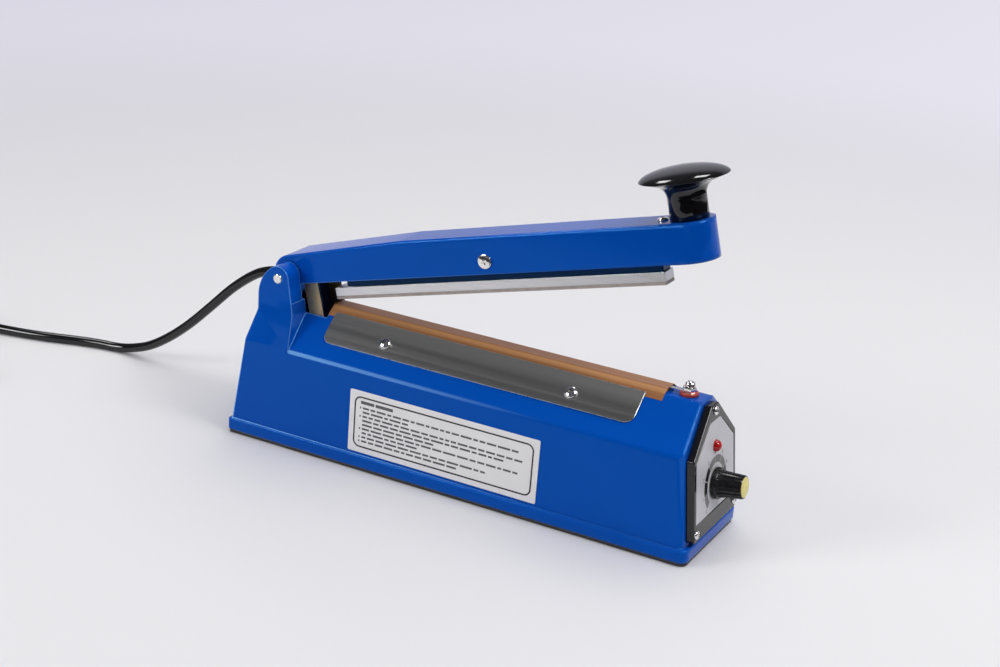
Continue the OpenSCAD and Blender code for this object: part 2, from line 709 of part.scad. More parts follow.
module clamp_screws() {
  color("silver") both_sides() on_slope() clamp_screw_places() union() {
    translate([0, 0, cover_t + clamp_t]) dome_head(clamp_head_d, 2.2);
    translate([0, 0, -wall - 3]) cylinder(d = clamp_screw_d, h = wall + 3 + cover_t + clamp_t + 0.5);
  }
}

// Dial-end terminal: red fibre bush, stud, domed nut above and plain nut below the deck
module terminal_bush() {
  color("firebrick") translate([terminal_x, 0, 0]) difference() {
    union() {
      translate([0, 0, deck_z]) cylinder(d = bush_d, h = tape_top - deck_z);
      translate([0, 0, deck_z - wall - 0.6]) cylinder(d = bush_neck_d, h = wall + 1);
    }
    translate([0, 0, deck_z - 2*wall]) cylinder(d = stud_d + 2*slip, h = 4*wall);
  }
}
stud_rise = 4.6;
module terminal_stud() {
  color("silver") translate([terminal_x, 0, deck_z - wall - 8])
    cylinder(d = stud_d, h = element_top + stud_rise - deck_z + wall + 8);
}
module terminal_nuts() {
  color("silver") translate([terminal_x, 0, 0]) {
    translate([0, 0, element_top]) difference() {
      union() {
        hexagon(nut_across, nut_h);
        translate([0, 0, nut_h]) dome_head(nut_across - 0.6, 3.2);
      }
      translate([0, 0, -1]) cylinder(d = stud_d + 2*slip, h = stud_rise + 1 + slip);
    }
    translate([0, 0, deck_z - wall - 0.6 - nut_h]) difference() {
      hexagon(nut_across, nut_h);
      translate([0, 0, -1]) cylinder(d = stud_d + 2*slip, h = nut_h + 2);
    }
  }
}
// Hinge-end terminal inside the slot, which clamps the bent tail of the element
module end_terminal_block() {
  color("saddlebrown") difference() {
    translate([slot_x1, -block_w/2, block_top - block_h]) cube([block_len, block_w, block_h]);
    translate([slot_x1 - 1, 0, block_screw_z]) rotate([0, 90, 0]) cylinder(d = block_screw_d + 2*slip, h = block_len - 1);
  }
}
module end_terminal_screw() {
  color("silver") translate([slot_x1 - element_t, 0, block_screw_z]) union() {
    rotate([0, -90, 0]) dome_head(6, 2);
    translate([-0.4, 0, 0]) rotate([0, 90, 0]) cylinder(d = block_screw_d, h = block_len - 2);
  }
}

// Hinge pin through both ears and the arm
pin_proud = 0.6;
module pivot_pin() {
  color("silver") y_rod(pin_d, -pivot_x, pivot_z, -ear_half - pin_proud, ear_half + pin_proud);
}

// Arm: a downward channel with a round end under the handle and a bent back
arm_drop = atan2(arm_above - arm_rear_above, arm_bend_u);
arm_end_u = handle_u + arm_half;
arm_heel_a = 180 + asin(arm_below/arm_rear_above);
arm_front_side = [[arm_bend_u - 1, -arm_below], [arm_end_u + 1, -arm_below], [arm_end_u + 1, arm_above],
  [arm_bend_u - 1, arm_above]];
arm_rear_side = concat([[arm_bend_u + 1, -arm_below], [arm_bend_u, arm_above]],
  arc([0, 0], arm_rear_above, 90 + arm_drop, arm_heel_a));
function arm_section(top) = [[-arm_half, -arm_below], [arm_half, -arm_below], [arm_half, top], [-arm_half, top]];
module arm_plan(grow, h) {
  r = arm_half + grow;
  union() {
    translate([handle_u, 0, 0]) cylinder(r = r, h = h);
    translate([-2*arm_half, -r, 0]) cube([handle_u + 2*arm_half, 2*r, h]);
  }
}
module arm_outer() {
  intersection() {
    union() {
      intersection() {
        y_prism(arm_front_side, -arm_half, arm_half);
        x_prism(rounded(arm_section(arm_above), [0, 0, arm_edge_r, arm_edge_r]), 0, arm_end_u);
      }
      intersection() {
        y_prism(arm_rear_side, -arm_half, arm_half);
        translate([arm_bend_u, 0, arm_above]) rotate([0, -arm_drop, 0]) translate([-arm_bend_u, 0, -arm_above])
          x_prism(rounded(arm_section(arm_above), [0, 0, arm_edge_r, arm_edge_r]) , -4*arm_half, arm_bend_u + 1);
      }
    }
    translate([0, 0, -arm_below - 1]) arm_plan(0, arm_above + arm_below + 2);
  }
}
module arm_cavity() {
  roof = arm_above - arm_wall;
  side = concat([[-arm_rear_above + arm_wall, -arm_below - 1], [arm_end_u, -arm_below - 1], [arm_end_u, roof],
    [arm_bend_u, roof]], arc([0, 0], arm_rear_above - arm_wall, 90 + arm_drop, 180));
  intersection() {
    y_prism(side, -arm_half, arm_half);
    translate([0, 0, -arm_below - 2]) arm_plan(-arm_wall, arm_above + arm_below);
  }
}
handle_screw_d = 6;
arm_screw_u = handle_u - 16.5;
arm_screw_d = 3;
module arm_shell() {
  color("royalblue") on_arm() difference() {
    arm_outer();
    arm_cavity();
    y_rod(pin_d + 2*run, 0, 0, -flange_w, flange_w);
    y_rod(bar_screw_d + 2*slip, bar_u, bar_v, -flange_w, flange_w);
    translate([handle_u, 0, 0]) cylinder(d = handle_screw_d + 2*slip, h = 2*arm_above);
    translate([arm_screw_u, 0, 0]) cylinder(d = arm_screw_d + 2*slip, h = 2*arm_above);
  }
}

// Plated channel welded inside the arm: it carries the return spring and trips the switch
module lever_channel() {
  hole_v = hook_drop;
  color("goldenrod") on_arm() difference() {
    translate([lever_u, -lever_half, -lever_len]) cube([lever_w, 2*lever_half, lever_len + 5]);
    translate([lever_u + lever_t, -lever_half + lever_t, -lever_len - 1])
      cube([lever_w, 2*(lever_half - lever_t), lever_len + 7]);
    translate([lever_u - 1, 0, -hole_v]) rotate([0, 90, 0]) cylinder(d = 2.4, h = lever_t + 2, $fn = 24);
  }
}

// Handle: turned mushroom with a flared neck, held by a screw from inside the arm
neck_r = stem_d/2;
cap_r = handle_d/2;
rim_h = handle_h - 7.4;
module handle_knob() {
  profile = concat([[0, 0], [neck_r, 0]], arc([neck_r + 7.6, rim_h - 10.6], 7.6, 180, 100, 6),
    [[cap_r - 2.2, rim_h - 1.8]], arc([cap_r - 1.8, rim_h], 1.8, -60, 50, 6),
    [for (i = [1:7]) [(cap_r - 1.2)*cos(i*11.25), rim_h + 1.2 + (handle_h - rim_h - 1.2)*sin(i*11.25)]],
    [[0, handle_h]]);
  bore_h = handle_h - 10;
  color("black") on_arm() translate([handle_u, 0, arm_above]) difference() {
    rotate_extrude() polygon(profile);
    translate([0, 0, -1]) cylinder(d = handle_screw_d + 2*slip, h = bore_h + 1);
  }
}
module handle_screw() {
  grip = handle_h - 11;
  color("silver") on_arm() translate([handle_u, 0, arm_above - arm_wall]) union() {
    translate([0, 0, -4]) cylinder(d = 10, h = 4);
    cylinder(d = handle_screw_d, h = arm_wall + grip);
  }
}
module arm_screw() {
  color("silver") on_arm() translate([arm_screw_u, 0, arm_above]) union() {
    dome_head(6.6, 1.8);
    translate([0, 0, -arm_wall - 3]) cylinder(d = arm_screw_d, h = arm_wall + 3.2);
  }
}

// Pressing bar under a painted carrier, which rocks on a screw across the arm
web_top = -arm_below + 4;
lug_len = 22;
lug_r = 6;
foot_top = -bar_under + bar_h;
web_back = 2.4;
web_short = 1;
tongue_t = web_t - 4;
tongue_h = 1.5;
tongue_in = 6;
carrier_u0 = bar_u - bar_len/2 + web_back;
carrier_u1 = bar_u + bar_len/2 - web_short;
foot_u0 = bar_u - bar_len/2 - bar_tail;
foot_len = bar_len + bar_tail;
module bar_screw() {
  color("silver") on_arm() translate([bar_u, 0, bar_v]) union() {
    translate([0, -arm_half, 0]) rotate([90, 0, 0]) dome_head(8.4, 1.5);
    y_rod(bar_screw_d, 0, 0, -arm_half - 0.3, arm_half + 4.5);
  }
}
module bar_nut() {
  color("silver") on_arm() translate([bar_u, arm_half, bar_v]) rotate([-90, 0, 0]) difference() {
    hexagon(8, 3.5);
    translate([0, 0, -1]) cylinder(d = bar_screw_d + 2*slip, h = 6);
  }
}
module bar_spacers() {
  color("gainsboro") on_arm() both_sides() difference() {
    y_rod(bar_screw_d + 4, bar_u, bar_v, web_t/2 + air, arm_half - arm_wall);
    y_rod(bar_screw_d + 2*slip, bar_u, bar_v, 0, arm_half);
  }
}
module bar_carrier() {
  color("royalblue") on_arm() difference() {
    union() {
      translate([carrier_u0, -web_t/2, foot_top]) cube([carrier_u1 - carrier_u0, web_t, web_top - foot_top]);
      translate([bar_u - lug_len/2, -web_t/2, web_top - 1]) cube([lug_len, web_t, bar_v + lug_r - web_top + 1]);
      translate([carrier_u0 + tongue_in, -tongue_t/2, foot_top - tongue_h])
        cube([carrier_u1 - carrier_u0 - 2*tongue_in, tongue_t, tongue_h + 1]);
    }
    y_rod(bar_screw_d + 2*run, bar_u, bar_v, -bar_w, bar_w);
  }
}
module presser_bar() {
  color("gainsboro") on_arm() difference() {
    translate([foot_u0, -bar_w/2, -bar_under]) cube([foot_len, bar_w, bar_h]);
    translate([carrier_u0 + tongue_in - slip, -tongue_t/2 - slip, foot_top - tongue_h - slip])
      cube([carrier_u1 - carrier_u0 - 2*tongue_in + 2*slip, tongue_t + 2*slip, tongue_h + 1]);
  }
}
module silicone_strip() {
  color("rosybrown") on_arm() translate([foot_u0, -silicone_w/2, -bar_under - silicone_t])
    cube([foot_len, silicone_w, silicone_t]);
}

// Closed pose: the bar lies level on the cover, the arm still leans up a little and the bar rocks level
bar_reach = norm([bar_u, bar_v]);
closed_rise = cover_top + air + bar_under + silicone_t + bar_v - pivot_z;
closed_lean = asin(closed_rise/bar_reach) - atan2(bar_v, bar_u);
echo(close_angle = open_angle - closed_lean, rock_angle = closed_lean, rock_ratio = closed_lean/(open_angle - closed_lean));
echo(bar_pivot = pivot + bar_reach*[cos(open_angle + atan2(bar_v, bar_u)), 0, sin(open_angle + atan2(bar_v, bar_u))]);

// Sweep of a round tube along points; ref is a direction that the path never takes
function tangent(pts, i) = unit(pts[min(i + 1, len(pts) - 1)] - pts[max(i - 1, 0)]);
function ring(pts, i, r, sides, ref) =
  let (t = tangent(pts, i), a = unit(cross(t, ref)), b = cross(a, t))
  [for (j = [0:sides - 1]) pts[i] + r*(a*cos(j*360/sides) + b*sin(j*360/sides))];
module tube(pts, r, sides, ref) {
  n = len(pts);
  rings = [for (i = [0:n - 1]) each ring(pts, i, r, sides, ref)];
  skin = [for (i = [0:n - 2], j = [0:sides - 1])
    let (k = (j + 1) % sides, a = i*sides + j, b = i*sides + k, c = a + sides, d = b + sides)
    each [[a, b, c], [b, d, c]]];
  caps = [for (j = [1:sides - 2]) each [[0, j + 1, j], [(n - 1)*sides, (n - 1)*sides + j, (n - 1)*sides + j + 1]]];
  polyhedron(points = rings, faces = concat(skin, caps), convexity = 6);
}
// Least gap between the surface of a tube and itself, on its points more than apart rings away
function least_gap(pts, r, apart) = min([for (i = [0:len(pts) - 1], j = [i + apart:1:len(pts) - 1])
  norm(pts[i] - pts[j])]) - 2*r;

// Return spring between the lever and its anchor post
spring_r = 4;
spring_wire = 0.6;
spring_curls = 13;
lever_hook = pivot + [(lever_u + lever_t)*cos(open_angle) + hook_drop*sin(open_angle), 0,
  (lever_u + lever_t)*sin(open_angle) - hook_drop*cos(open_angle)];
spring_x0 = lever_hook[0] + 2;
spring_len = anchor_x - air - spring_x0;
function spring_pts() = [for (i = [0:8*spring_curls]) let (a = 45*i)
  [spring_x0 + spring_wire + (spring_len - 2*spring_wire)*i/(8*spring_curls), spring_r*cos(a), lever_hook[2] + spring_r*sin(a)]];
echo(spring_gap = least_gap(spring_pts(), spring_wire, 5));
module return_spring() {
  color("silver") tube(spring_pts(), spring_wire, 6, [1, 0, 0]);
}
anchor_w = 16;
anchor_t = 2;
anchor_foot = 14;
anchor_rise = 7;
module spring_anchor() {
  color("silver") translate([anchor_x, -anchor_w/2, base_t]) union() {
    cube([anchor_t, anchor_w, lever_hook[2] + anchor_rise - base_t]);
    cube([anchor_foot, anchor_w, anchor_t]);
  }
}

// Microswitch that the lever reaches just as the bar lands on the cover
switch_drop = 42;
switch_z = pivot_z - switch_drop;
button_gap = air;
button_d = 3;
button_out = 1.8;
button_travel = 1.2;
lever_face_x = -pivot_x + lever_u*cos(closed_lean) + (pivot_z - switch_z)*sin(closed_lean);
switch_face_x = lever_face_x - button_gap - button_out;
switch_depth = 10;
switch_w = 6.4;
switch_h = 20;
module micro_switch() {
  color("dimgray") difference() {
    translate([switch_face_x - switch_depth, -switch_w/2, switch_z - switch_h/2]) cube([switch_depth, switch_w, switch_h]);
    translate([switch_face_x - button_travel - 2, 0, switch_z]) rotate([0, 90, 0])
      cylinder(d = button_d + 2*run, h = button_travel + 3);
  }
}
module switch_button() {
  color("white") translate([switch_face_x - 0.6, 0, switch_z]) rotate([0, 90, 0])
    cylinder(d = button_d, h = button_out + 0.6);
}
bracket_t = 1.5;
bracket_foot = 14;
module switch_bracket() {
  color("silver") translate([switch_face_x - switch_depth, switch_w/2, base_t]) union() {
    cube([switch_depth - 1, bracket_t, switch_z + switch_h/2 - base_t]);
    cube([switch_depth - 1, bracket_foot, bracket_t]);
  }
}

// Mains lead: a tapered strain relief, a free run to the floor, and a tied coil with a plug
module strain_relief() {
  color("black") difference() {
    on_gland() union() {
      translate([0, 0, -gland_seat]) cylinder(d = gland_d, h = gland_seat + 2);
      translate([0, 0, 2]) cylinder(d1 = gland_d - 1.5, d2 = gland_tip_d, h = gland_len - 2);
    }
    on_gland() translate([0, 0, -gland_seat - 1]) cylinder(d = 2, h = gland_seat + 2, $fn = 24);
  }
}
tie_t = 1;
tie_w = 6;
tie_gap = 0.3;
lay_z = cord_d/2;
coil_z = lay_z + tie_t + tie_gap;
coil_step = cord_d + 0.7;
coil_rise = cord_d + 0.6;
lead_x = -body_len/2;
coil_start = [lead_x - 285, 0, coil_z];
coil_mid = coil_start - [0, coil_r, 0];
lead_route = [[lead_x - 20.4, 21.9, 87.6], [lead_x - 27.3, 22.1, 83.6], [lead_x - 35.3, 22.5, 77.9], [lead_x - 45, 23, 70],
  [lead_x - 63, 24, 53], [lead_x - 81, 25, 36.5], [lead_x - 99, 26, 22.5], [lead_x - 117, 27, 11.5],
  [lead_x - 130, 27.5, 6.5], [lead_x - 144, 27, lay_z], [lead_x - 160, 24, lay_z], [lead_x - 175, 20, lay_z],
  [lead_x - 189, 15, lay_z], [lead_x - 203, 10.5, lay_z], [lead_x - 219, 6.5, lay_z], [lead_x - 235, 3.5, lay_z],
  [lead_x - 252, 1.2, lay_z + 0.4], [lead_x - 268, 0, lay_z + 1]];
lead_pts = concat([gland_tip, gland_tip + cord_d*gland_dir], lead_route,
  [coil_start + [cord_d, 0, 0], coil_start]);
module cord_free() {
  color("black") tube(lead_pts, cord_d/2, 10, [0, 0, 1]);
}

// Coil: in at the floor, up a layer in the half turn where the spiral reverses, and out again
turn_in = 360*coil_turns;
turn_back = turn_in + 90;
turn_all = 2*turn_in + 180;
function coil_radius(a) = coil_r - coil_step*(a < turn_back ? a : 2*turn_back - a)/360;
function coil_height(a) = coil_z + coil_rise*(1 - cos(min(max(a - turn_in, 0), 180)))/2;
function coil_at(a) = [coil_mid[0] + coil_radius(a)*cos(90 + a), coil_mid[1] + coil_radius(a)*sin(90 + a), coil_height(a)];
plug_len = 36;
plug_w = 26;
plug_t = 14;
plug_lead = 52;
plug_rear = [coil_mid[0] + plug_lead, coil_mid[1] - coil_r, plug_t/2];
coil_pts = concat([coil_start, coil_start - [cord_d, 0, 0]],
  [for (a = [15:15:turn_all - 15]) coil_at(a)],
  [for (i = [0:3]) let (k = i/4) [coil_mid[0] + k*(plug_lead - cord_d), plug_rear[1],
    coil_height(turn_all)*(1 - k*k*(3 - 2*k)) + plug_rear[2]*k*k*(3 - 2*k)]],
  [plug_rear - [cord_d, 0, 0], plug_rear]);
echo(coil_gap = least_gap(coil_pts, cord_d/2, 6));
function path_len(pts) = len(pts) < 2 ? 0 : [for (i = [1:len(pts) - 1]) norm(pts[i] - pts[i - 1])]*[for (i = [1:len(pts) - 1]) 1];
echo(lead_length = gland_len + path_len(lead_pts) + path_len(coil_pts));
module cord_coil() {
  color("black") tube(coil_pts, cord_d/2, 6, [0, 0, 1]);
}
module coil_tie() {
  in_r = coil_r - coil_step*(coil_turns - 0.25) - cord_d/2 - tie_gap;
  out_r = coil_r - coil_step*0.75 + cord_d/2 + tie_gap;
  top = coil_z + coil_rise + cord_d/2 + tie_gap;
  color("dimgray") translate([coil_mid[0], coil_mid[1] + tie_w/2, 0]) rotate([90, 0, 0]) linear_extrude(tie_w) difference() {
    translate([in_r - tie_t, 0]) square([out_r - in_r + 2*tie_t, top + tie_t]);
    translate([in_r, tie_t]) square([out_r - in_r, top - tie_t]);
  }
}
pin_gap = 18.6;
plug_pin_d = 4;
plug_pin_len = 19;
module plug_body() {
  half = plug_w/2;
  color("black") translate([plug_rear[0], plug_rear[1], 0]) difference() {
    linear_extrude(plug_t) polygon(rounded([[0, -6], [8, -7], [18, -half], [plug_len, -half], [plug_len, half],
      [18, half], [8, 7], [0, 6]], [0, 0, 4, 2, 2, 4, 0, 0]));
    for (sy = [-1, 1]) translate([plug_len - 8, sy*pin_gap/2, plug_t/2]) rotate([0, 90, 0])
      cylinder(d = plug_pin_d + 2*slip, h = 9);
  }
}
module plug_pins() {
  color("silver") for (sy = [-1, 1]) translate([plug_rear[0] + plug_len - 8 + slip, plug_rear[1] + sy*pin_gap/2, plug_t/2])
    rotate([0, 90, 0]) cylinder(d = plug_pin_d, h = 8 + plug_pin_len);
}

housing();
base_plate();
base_screws();
label_plate();
control_bezel();
faceplate();
panel_screws();
indicator_lamp();
timer_pot();
pot_nut();
pot_shaft();
timer_knob();
knob_cap();
circuit_board();
board_parts();
transformer_core();
transformer_coil();
transformer_strap();
transformer_screws();
sealing_ledge();
insulating_tape();
heating_element();
ptfe_cover();
front_clamp_plate();
rear_clamp_plate();
clamp_screws();
terminal_bush();
terminal_stud();
terminal_nuts();
end_terminal_block();
end_terminal_screw();
pivot_pin();
arm_shell();
lever_channel();
handle_knob();
handle_screw();
arm_screw();
bar_screw();
bar_nut();
bar_spacers();
bar_carrier();
presser_bar();
silicone_strip();
return_spring();
spring_anchor();
micro_switch();
switch_button();
switch_bracket();
strain_relief();
cord_free();
cord_coil();
coil_tie();
plug_body();
plug_pins();
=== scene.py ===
import bmesh
import bpy
import json
import math
import random
from mathutils import Matrix, Vector

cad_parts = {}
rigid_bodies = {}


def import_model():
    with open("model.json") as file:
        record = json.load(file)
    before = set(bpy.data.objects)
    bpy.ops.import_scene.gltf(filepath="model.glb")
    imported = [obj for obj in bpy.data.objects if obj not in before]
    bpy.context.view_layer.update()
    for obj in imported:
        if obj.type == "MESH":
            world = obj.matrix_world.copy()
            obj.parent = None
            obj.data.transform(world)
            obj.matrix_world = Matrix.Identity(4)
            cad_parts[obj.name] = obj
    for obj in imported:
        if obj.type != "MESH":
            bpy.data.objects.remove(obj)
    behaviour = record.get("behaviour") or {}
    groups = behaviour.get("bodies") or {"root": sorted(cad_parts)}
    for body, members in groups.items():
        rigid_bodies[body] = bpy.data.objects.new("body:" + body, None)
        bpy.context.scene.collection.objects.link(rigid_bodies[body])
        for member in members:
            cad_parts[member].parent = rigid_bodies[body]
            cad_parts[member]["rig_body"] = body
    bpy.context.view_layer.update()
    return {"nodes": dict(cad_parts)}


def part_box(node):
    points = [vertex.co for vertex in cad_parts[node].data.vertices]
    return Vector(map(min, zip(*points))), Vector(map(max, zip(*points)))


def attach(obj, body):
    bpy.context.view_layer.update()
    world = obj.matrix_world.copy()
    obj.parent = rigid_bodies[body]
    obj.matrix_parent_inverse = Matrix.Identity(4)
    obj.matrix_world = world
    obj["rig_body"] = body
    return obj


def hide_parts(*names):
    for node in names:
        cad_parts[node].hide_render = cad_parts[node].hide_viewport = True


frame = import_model()
nodes = frame["nodes"]
mm = 0.001

# Table, lamps and camera
# The sealer stands on one sheet of pale paper that runs far out on every side. One soft box stands
# left of the camera, one hangs high on the right and a wide one above. The room is dim but for its
# far wall. White cards and dark cloths outside the picture show only as reflections.
scene = bpy.context.scene
scene.view_settings.view_transform = "Standard"

camera_azimuth = math.radians(27.281)
camera_tilt = math.radians(20.261)
camera_roll = math.radians(4.0)
camera_away = 1.047503
camera_target = Vector((0.012232, 0.0, 0.096346))
away = Vector(
    (
        math.sin(camera_azimuth) * math.cos(camera_tilt),
        -math.cos(camera_azimuth) * math.cos(camera_tilt),
        math.sin(camera_tilt),
    )
)
level = Vector((math.cos(camera_azimuth), math.sin(camera_azimuth), 0.0))
upright = away.cross(level)
rolled_level = level * math.cos(camera_roll) + upright * math.sin(camera_roll)
rolled_upright = upright * math.cos(camera_roll) - level * math.sin(camera_roll)
camera_data = bpy.data.cameras.new("photo_camera")
camera_data.sensor_fit = "HORIZONTAL"
camera_data.sensor_width = 36.0
camera_data.lens = 62.64
camera_data.clip_end = 200.0
camera = bpy.data.objects.new("photo_camera", camera_data)
scene.collection.objects.link(camera)
camera_place = Matrix((rolled_level, rolled_upright, away)).transposed().to_4x4()
camera_place.translation = camera_target + away * camera_away
camera.matrix_world = camera_place
scene.camera = camera


def soft_box(name, place, aim, width, height, power):
    lamp_data = bpy.data.lights.new(name, "AREA")
    lamp_data.shape = "RECTANGLE"
    lamp_data.size = width
    lamp_data.size_y = height
    lamp_data.energy = power
    lamp = bpy.data.objects.new(name, lamp_data)
    scene.collection.objects.link(lamp)
    look = Vector(aim) - Vector(place)
    lamp.rotation_euler = look.to_track_quat("-Z", "Y").to_euler()
    lamp.location = place
    lamp.visible_glossy = False


soft_box("box_above", place=(0.3, 0.35, 1.75), aim=(0.1, 0.05, 0.0), width=3.4, height=2.6, power=47.0)
soft_box("box_left", place=(-1.3, -1.47, 0.87), aim=(0.0, 0.0, 0.08), width=0.8, height=0.8, power=18.5)
soft_box(
    "box_right", place=(1.4, -0.06, 1.55), aim=(0.05, 0.0, 0.08), width=0.7, height=0.7, power=11.0
)

world = bpy.data.worlds.new("pale_room")
scene.world = world
world.use_nodes = True
room = world.node_tree
room_light = room.nodes["Background"]
room_side = room.nodes.new("ShaderNodeTexCoord")
room_split = room.nodes.new("ShaderNodeSeparateXYZ")
room.links.new(room_side.outputs["Generated"], room_split.inputs["Vector"])
wall_lean = -0.8
room_lift = room.nodes.new("ShaderNodeMath")
room_lift.operation = "MULTIPLY_ADD"
room_lift.inputs[1].default_value = wall_lean
room.links.new(room_split.outputs["Z"], room_lift.inputs[0])
room.links.new(room_split.outputs["Y"], room_lift.inputs[2])
room_ramp = room.nodes.new("ShaderNodeValToRGB")
room_ramp.color_ramp.elements[0].position = 0.0
room_ramp.color_ramp.elements[0].color = (0.11, 0.11, 0.12, 1.0)
room_ramp.color_ramp.elements[1].position = 1.0
room_ramp.color_ramp.elements[1].color = (0.52, 0.52, 0.59, 1.0)
room_shift = room.nodes.new("ShaderNodeMapRange")
room_shift.inputs["From Min"].default_value = 0.15
room_shift.inputs["From Max"].default_value = 0.45
room.links.new(room_lift.outputs[0], room_shift.inputs["Value"])
room.links.new(room_shift.outputs["Result"], room_ramp.inputs["Fac"])
room.links.new(room_ramp.outputs["Color"], room_light.inputs["Color"])
room_light.inputs["Strength"].default_value = 1.0

paper_half = 60.0
paper_drop = -0.0003
paper_corners = ((-1.0, -1.0), (1.0, -1.0), (1.0, 1.0), (-1.0, 1.0))
paper_mesh = bpy.data.meshes.new("paper_floor")
paper_mesh.from_pydata(
    [(x * paper_half, y * paper_half, paper_drop) for x, y in paper_corners], [], [(0, 1, 2, 3)]
)
paper = bpy.data.objects.new("paper_floor", paper_mesh)
scene.collection.objects.link(paper)
paper_material = bpy.data.materials.new("pale_paper")
paper_material.use_nodes = True
paper_tree = paper_material.node_tree
paper_shader = paper_tree.nodes["Principled BSDF"]
paper_output = paper_tree.nodes["Material Output"]
paper_shader.inputs["Base Color"].default_value = (0.665, 0.66, 0.675, 1.0)
paper_shader.inputs["Roughness"].default_value = 0.85
paper_shader.inputs["Specular IOR Level"].default_value = 0.2
paper_place = paper_tree.nodes.new("ShaderNodeTexCoord")
paper_far = paper_tree.nodes.new("ShaderNodeVectorMath")
paper_far.operation = "LENGTH"
paper_tree.links.new(paper_place.outputs["Object"], paper_far.inputs[0])
paper_reach = paper_tree.nodes.new("ShaderNodeMapRange")
paper_reach.interpolation_type = "SMOOTHSTEP"
paper_reach.inputs["From Min"].default_value = 0.5
paper_reach.inputs["From Max"].default_value = 1.5
paper_tree.links.new(paper_far.outputs["Value"], paper_reach.inputs["Value"])
paper_ray = paper_tree.nodes.new("ShaderNodeLightPath")
paper_mirrored = paper_tree.nodes.new("ShaderNodeMath")
paper_mirrored.operation = "ADD"
paper_tree.links.new(paper_ray.outputs["Is Glossy Ray"], paper_mirrored.inputs[0])
paper_tree.links.new(paper_ray.outputs["Is Transmission Ray"], paper_mirrored.inputs[1])
paper_seen = paper_tree.nodes.new("ShaderNodeMath")
paper_seen.operation = "ADD"
paper_seen.use_clamp = True
paper_tree.links.new(paper_ray.outputs["Is Camera Ray"], paper_seen.inputs[0])
paper_tree.links.new(paper_mirrored.outputs[0], paper_seen.inputs[1])
paper_share = paper_tree.nodes.new("ShaderNodeMath")
paper_share.operation = "MULTIPLY"
paper_tree.links.new(paper_reach.outputs["Result"], paper_share.inputs[0])
paper_tree.links.new(paper_seen.outputs[0], paper_share.inputs[1])
# Far out the paper glows as a backdrop for camera and mirror rays; the glow is painted lighter towards
# +X, a painted pool of light from the right.
paper_side = paper_tree.nodes.new("ShaderNodeSeparateXYZ")
paper_tree.links.new(paper_place.outputs["Object"], paper_side.inputs["Vector"])
paper_across = paper_tree.nodes.new("ShaderNodeMapRange")
paper_across.inputs["From Min"].default_value = -1.4
paper_across.inputs["From Max"].default_value = 0.1
paper_tree.links.new(paper_side.outputs["X"], paper_across.inputs["Value"])
paper_ramp = paper_tree.nodes.new("ShaderNodeValToRGB")
paper_ramp.color_ramp.elements[0].color = (0.695, 0.68, 0.765, 1.0)
paper_ramp.color_ramp.elements[1].color = (0.8, 0.785, 0.87, 1.0)
paper_tree.links.new(paper_across.outputs["Result"], paper_ramp.inputs["Fac"])
paper_back = paper_tree.nodes.new("ShaderNodeEmission")
paper_tree.links.new(paper_ramp.outputs["Color"], paper_back.inputs["Color"])
paper_blend = paper_tree.nodes.new("ShaderNodeMixShader")
paper_tree.links.new(paper_share.outputs[0], paper_blend.inputs["Fac"])
paper_tree.links.new(paper_shader.outputs["BSDF"], paper_blend.inputs[1])
paper_tree.links.new(paper_back.outputs["Emission"], paper_blend.inputs[2])
paper_tree.links.new(paper_blend.outputs["Shader"], paper_output.inputs["Surface"])
paper_mesh.materials.append(paper_material)


def mirrored_sheet(name, place, aim, width, height, tone, level):
    mesh = bpy.data.meshes.new(name)
    w = width / 2.0
    h = height / 2.0
    mesh.from_pydata([(-w, -h, 0.0), (w, -h, 0.0), (w, h, 0.0), (-w, h, 0.0)], [], [(0, 1, 2, 3)])
    look = Vector(aim) - Vector(place)
    mesh.transform(Matrix.Translation(Vector(place)) @ look.to_track_quat("Z", "Y").to_matrix().to_4x4())
    material = bpy.data.materials.new(name)
    material.use_nodes = True
    shader = material.node_tree.nodes["Principled BSDF"]
    shader.inputs["Base Color"].default_value = (*tone, 1.0)
    shader.inputs["Roughness"].default_value = 1.0
    shader.inputs["Specular IOR Level"].default_value = 0.0
    shader.inputs["Emission Color"].default_value = (1.0, 1.0, 1.0, 1.0)
    shader.inputs["Emission Strength"].default_value = level
    mesh.materials.append(material)
    sheet = bpy.data.objects.new(name, mesh)
    scene.collection.objects.link(sheet)
    sheet.visible_camera = False
    sheet.visible_diffuse = False
    sheet.visible_shadow = False
    sheet.visible_transmission = False


cloth_black = (0.02, 0.02, 0.022)
cloth_lift = 0.0004
for cloth_name, cloth_x, cloth_y, cloth_wide, cloth_deep in (
    ("dark_cloth", 0.0, -2.75, 10.0, 4.5),
    ("dark_strip", 3.0, -0.43, 6.0, 0.34),
    ("dark_side", 3.2, 0.4, 5.6, 1.4),
):
    cloth_place = (cloth_x, cloth_y, cloth_lift)
    cloth_aim = (cloth_x, cloth_y, 1.0)
    mirrored_sheet(
        cloth_name, place=cloth_place, aim=cloth_aim, width=cloth_wide, height=cloth_deep,
        tone=cloth_black, level=0.0,
    )
card_white = (0.8, 0.8, 0.8)
body_spot = (0.0, 0.0, 0.08)
arm_spot = (0.13, 0.0, 0.2)
mirrored_sheet(
    "card_left", place=(-1.12, -1.44, 0.88), aim=body_spot, width=0.9, height=0.6, tone=card_white,
    level=14.0,
)
mirrored_sheet(
    "card_right", place=(1.41, -0.07, 1.7), aim=(0.05, 0.0, 0.08), width=0.9, height=0.9,
    tone=card_white, level=18.0,
)
mirrored_sheet(
    "card_far_left", place=(-0.89, 0.33, 1.25), aim=arm_spot, width=0.4, height=0.32, tone=card_white,
    level=11.0,
)
mirrored_sheet(
    "card_far_right", place=(-0.07, 0.67, 1.49), aim=arm_spot, width=0.36, height=0.32, tone=card_white,
    level=11.0,
)

# Mains lead
# A round two-core lead in black soft plastic. It leaves the strain relief behind the back ear,
# sags to the table, and its spare length lies coiled on the table outside the picture.


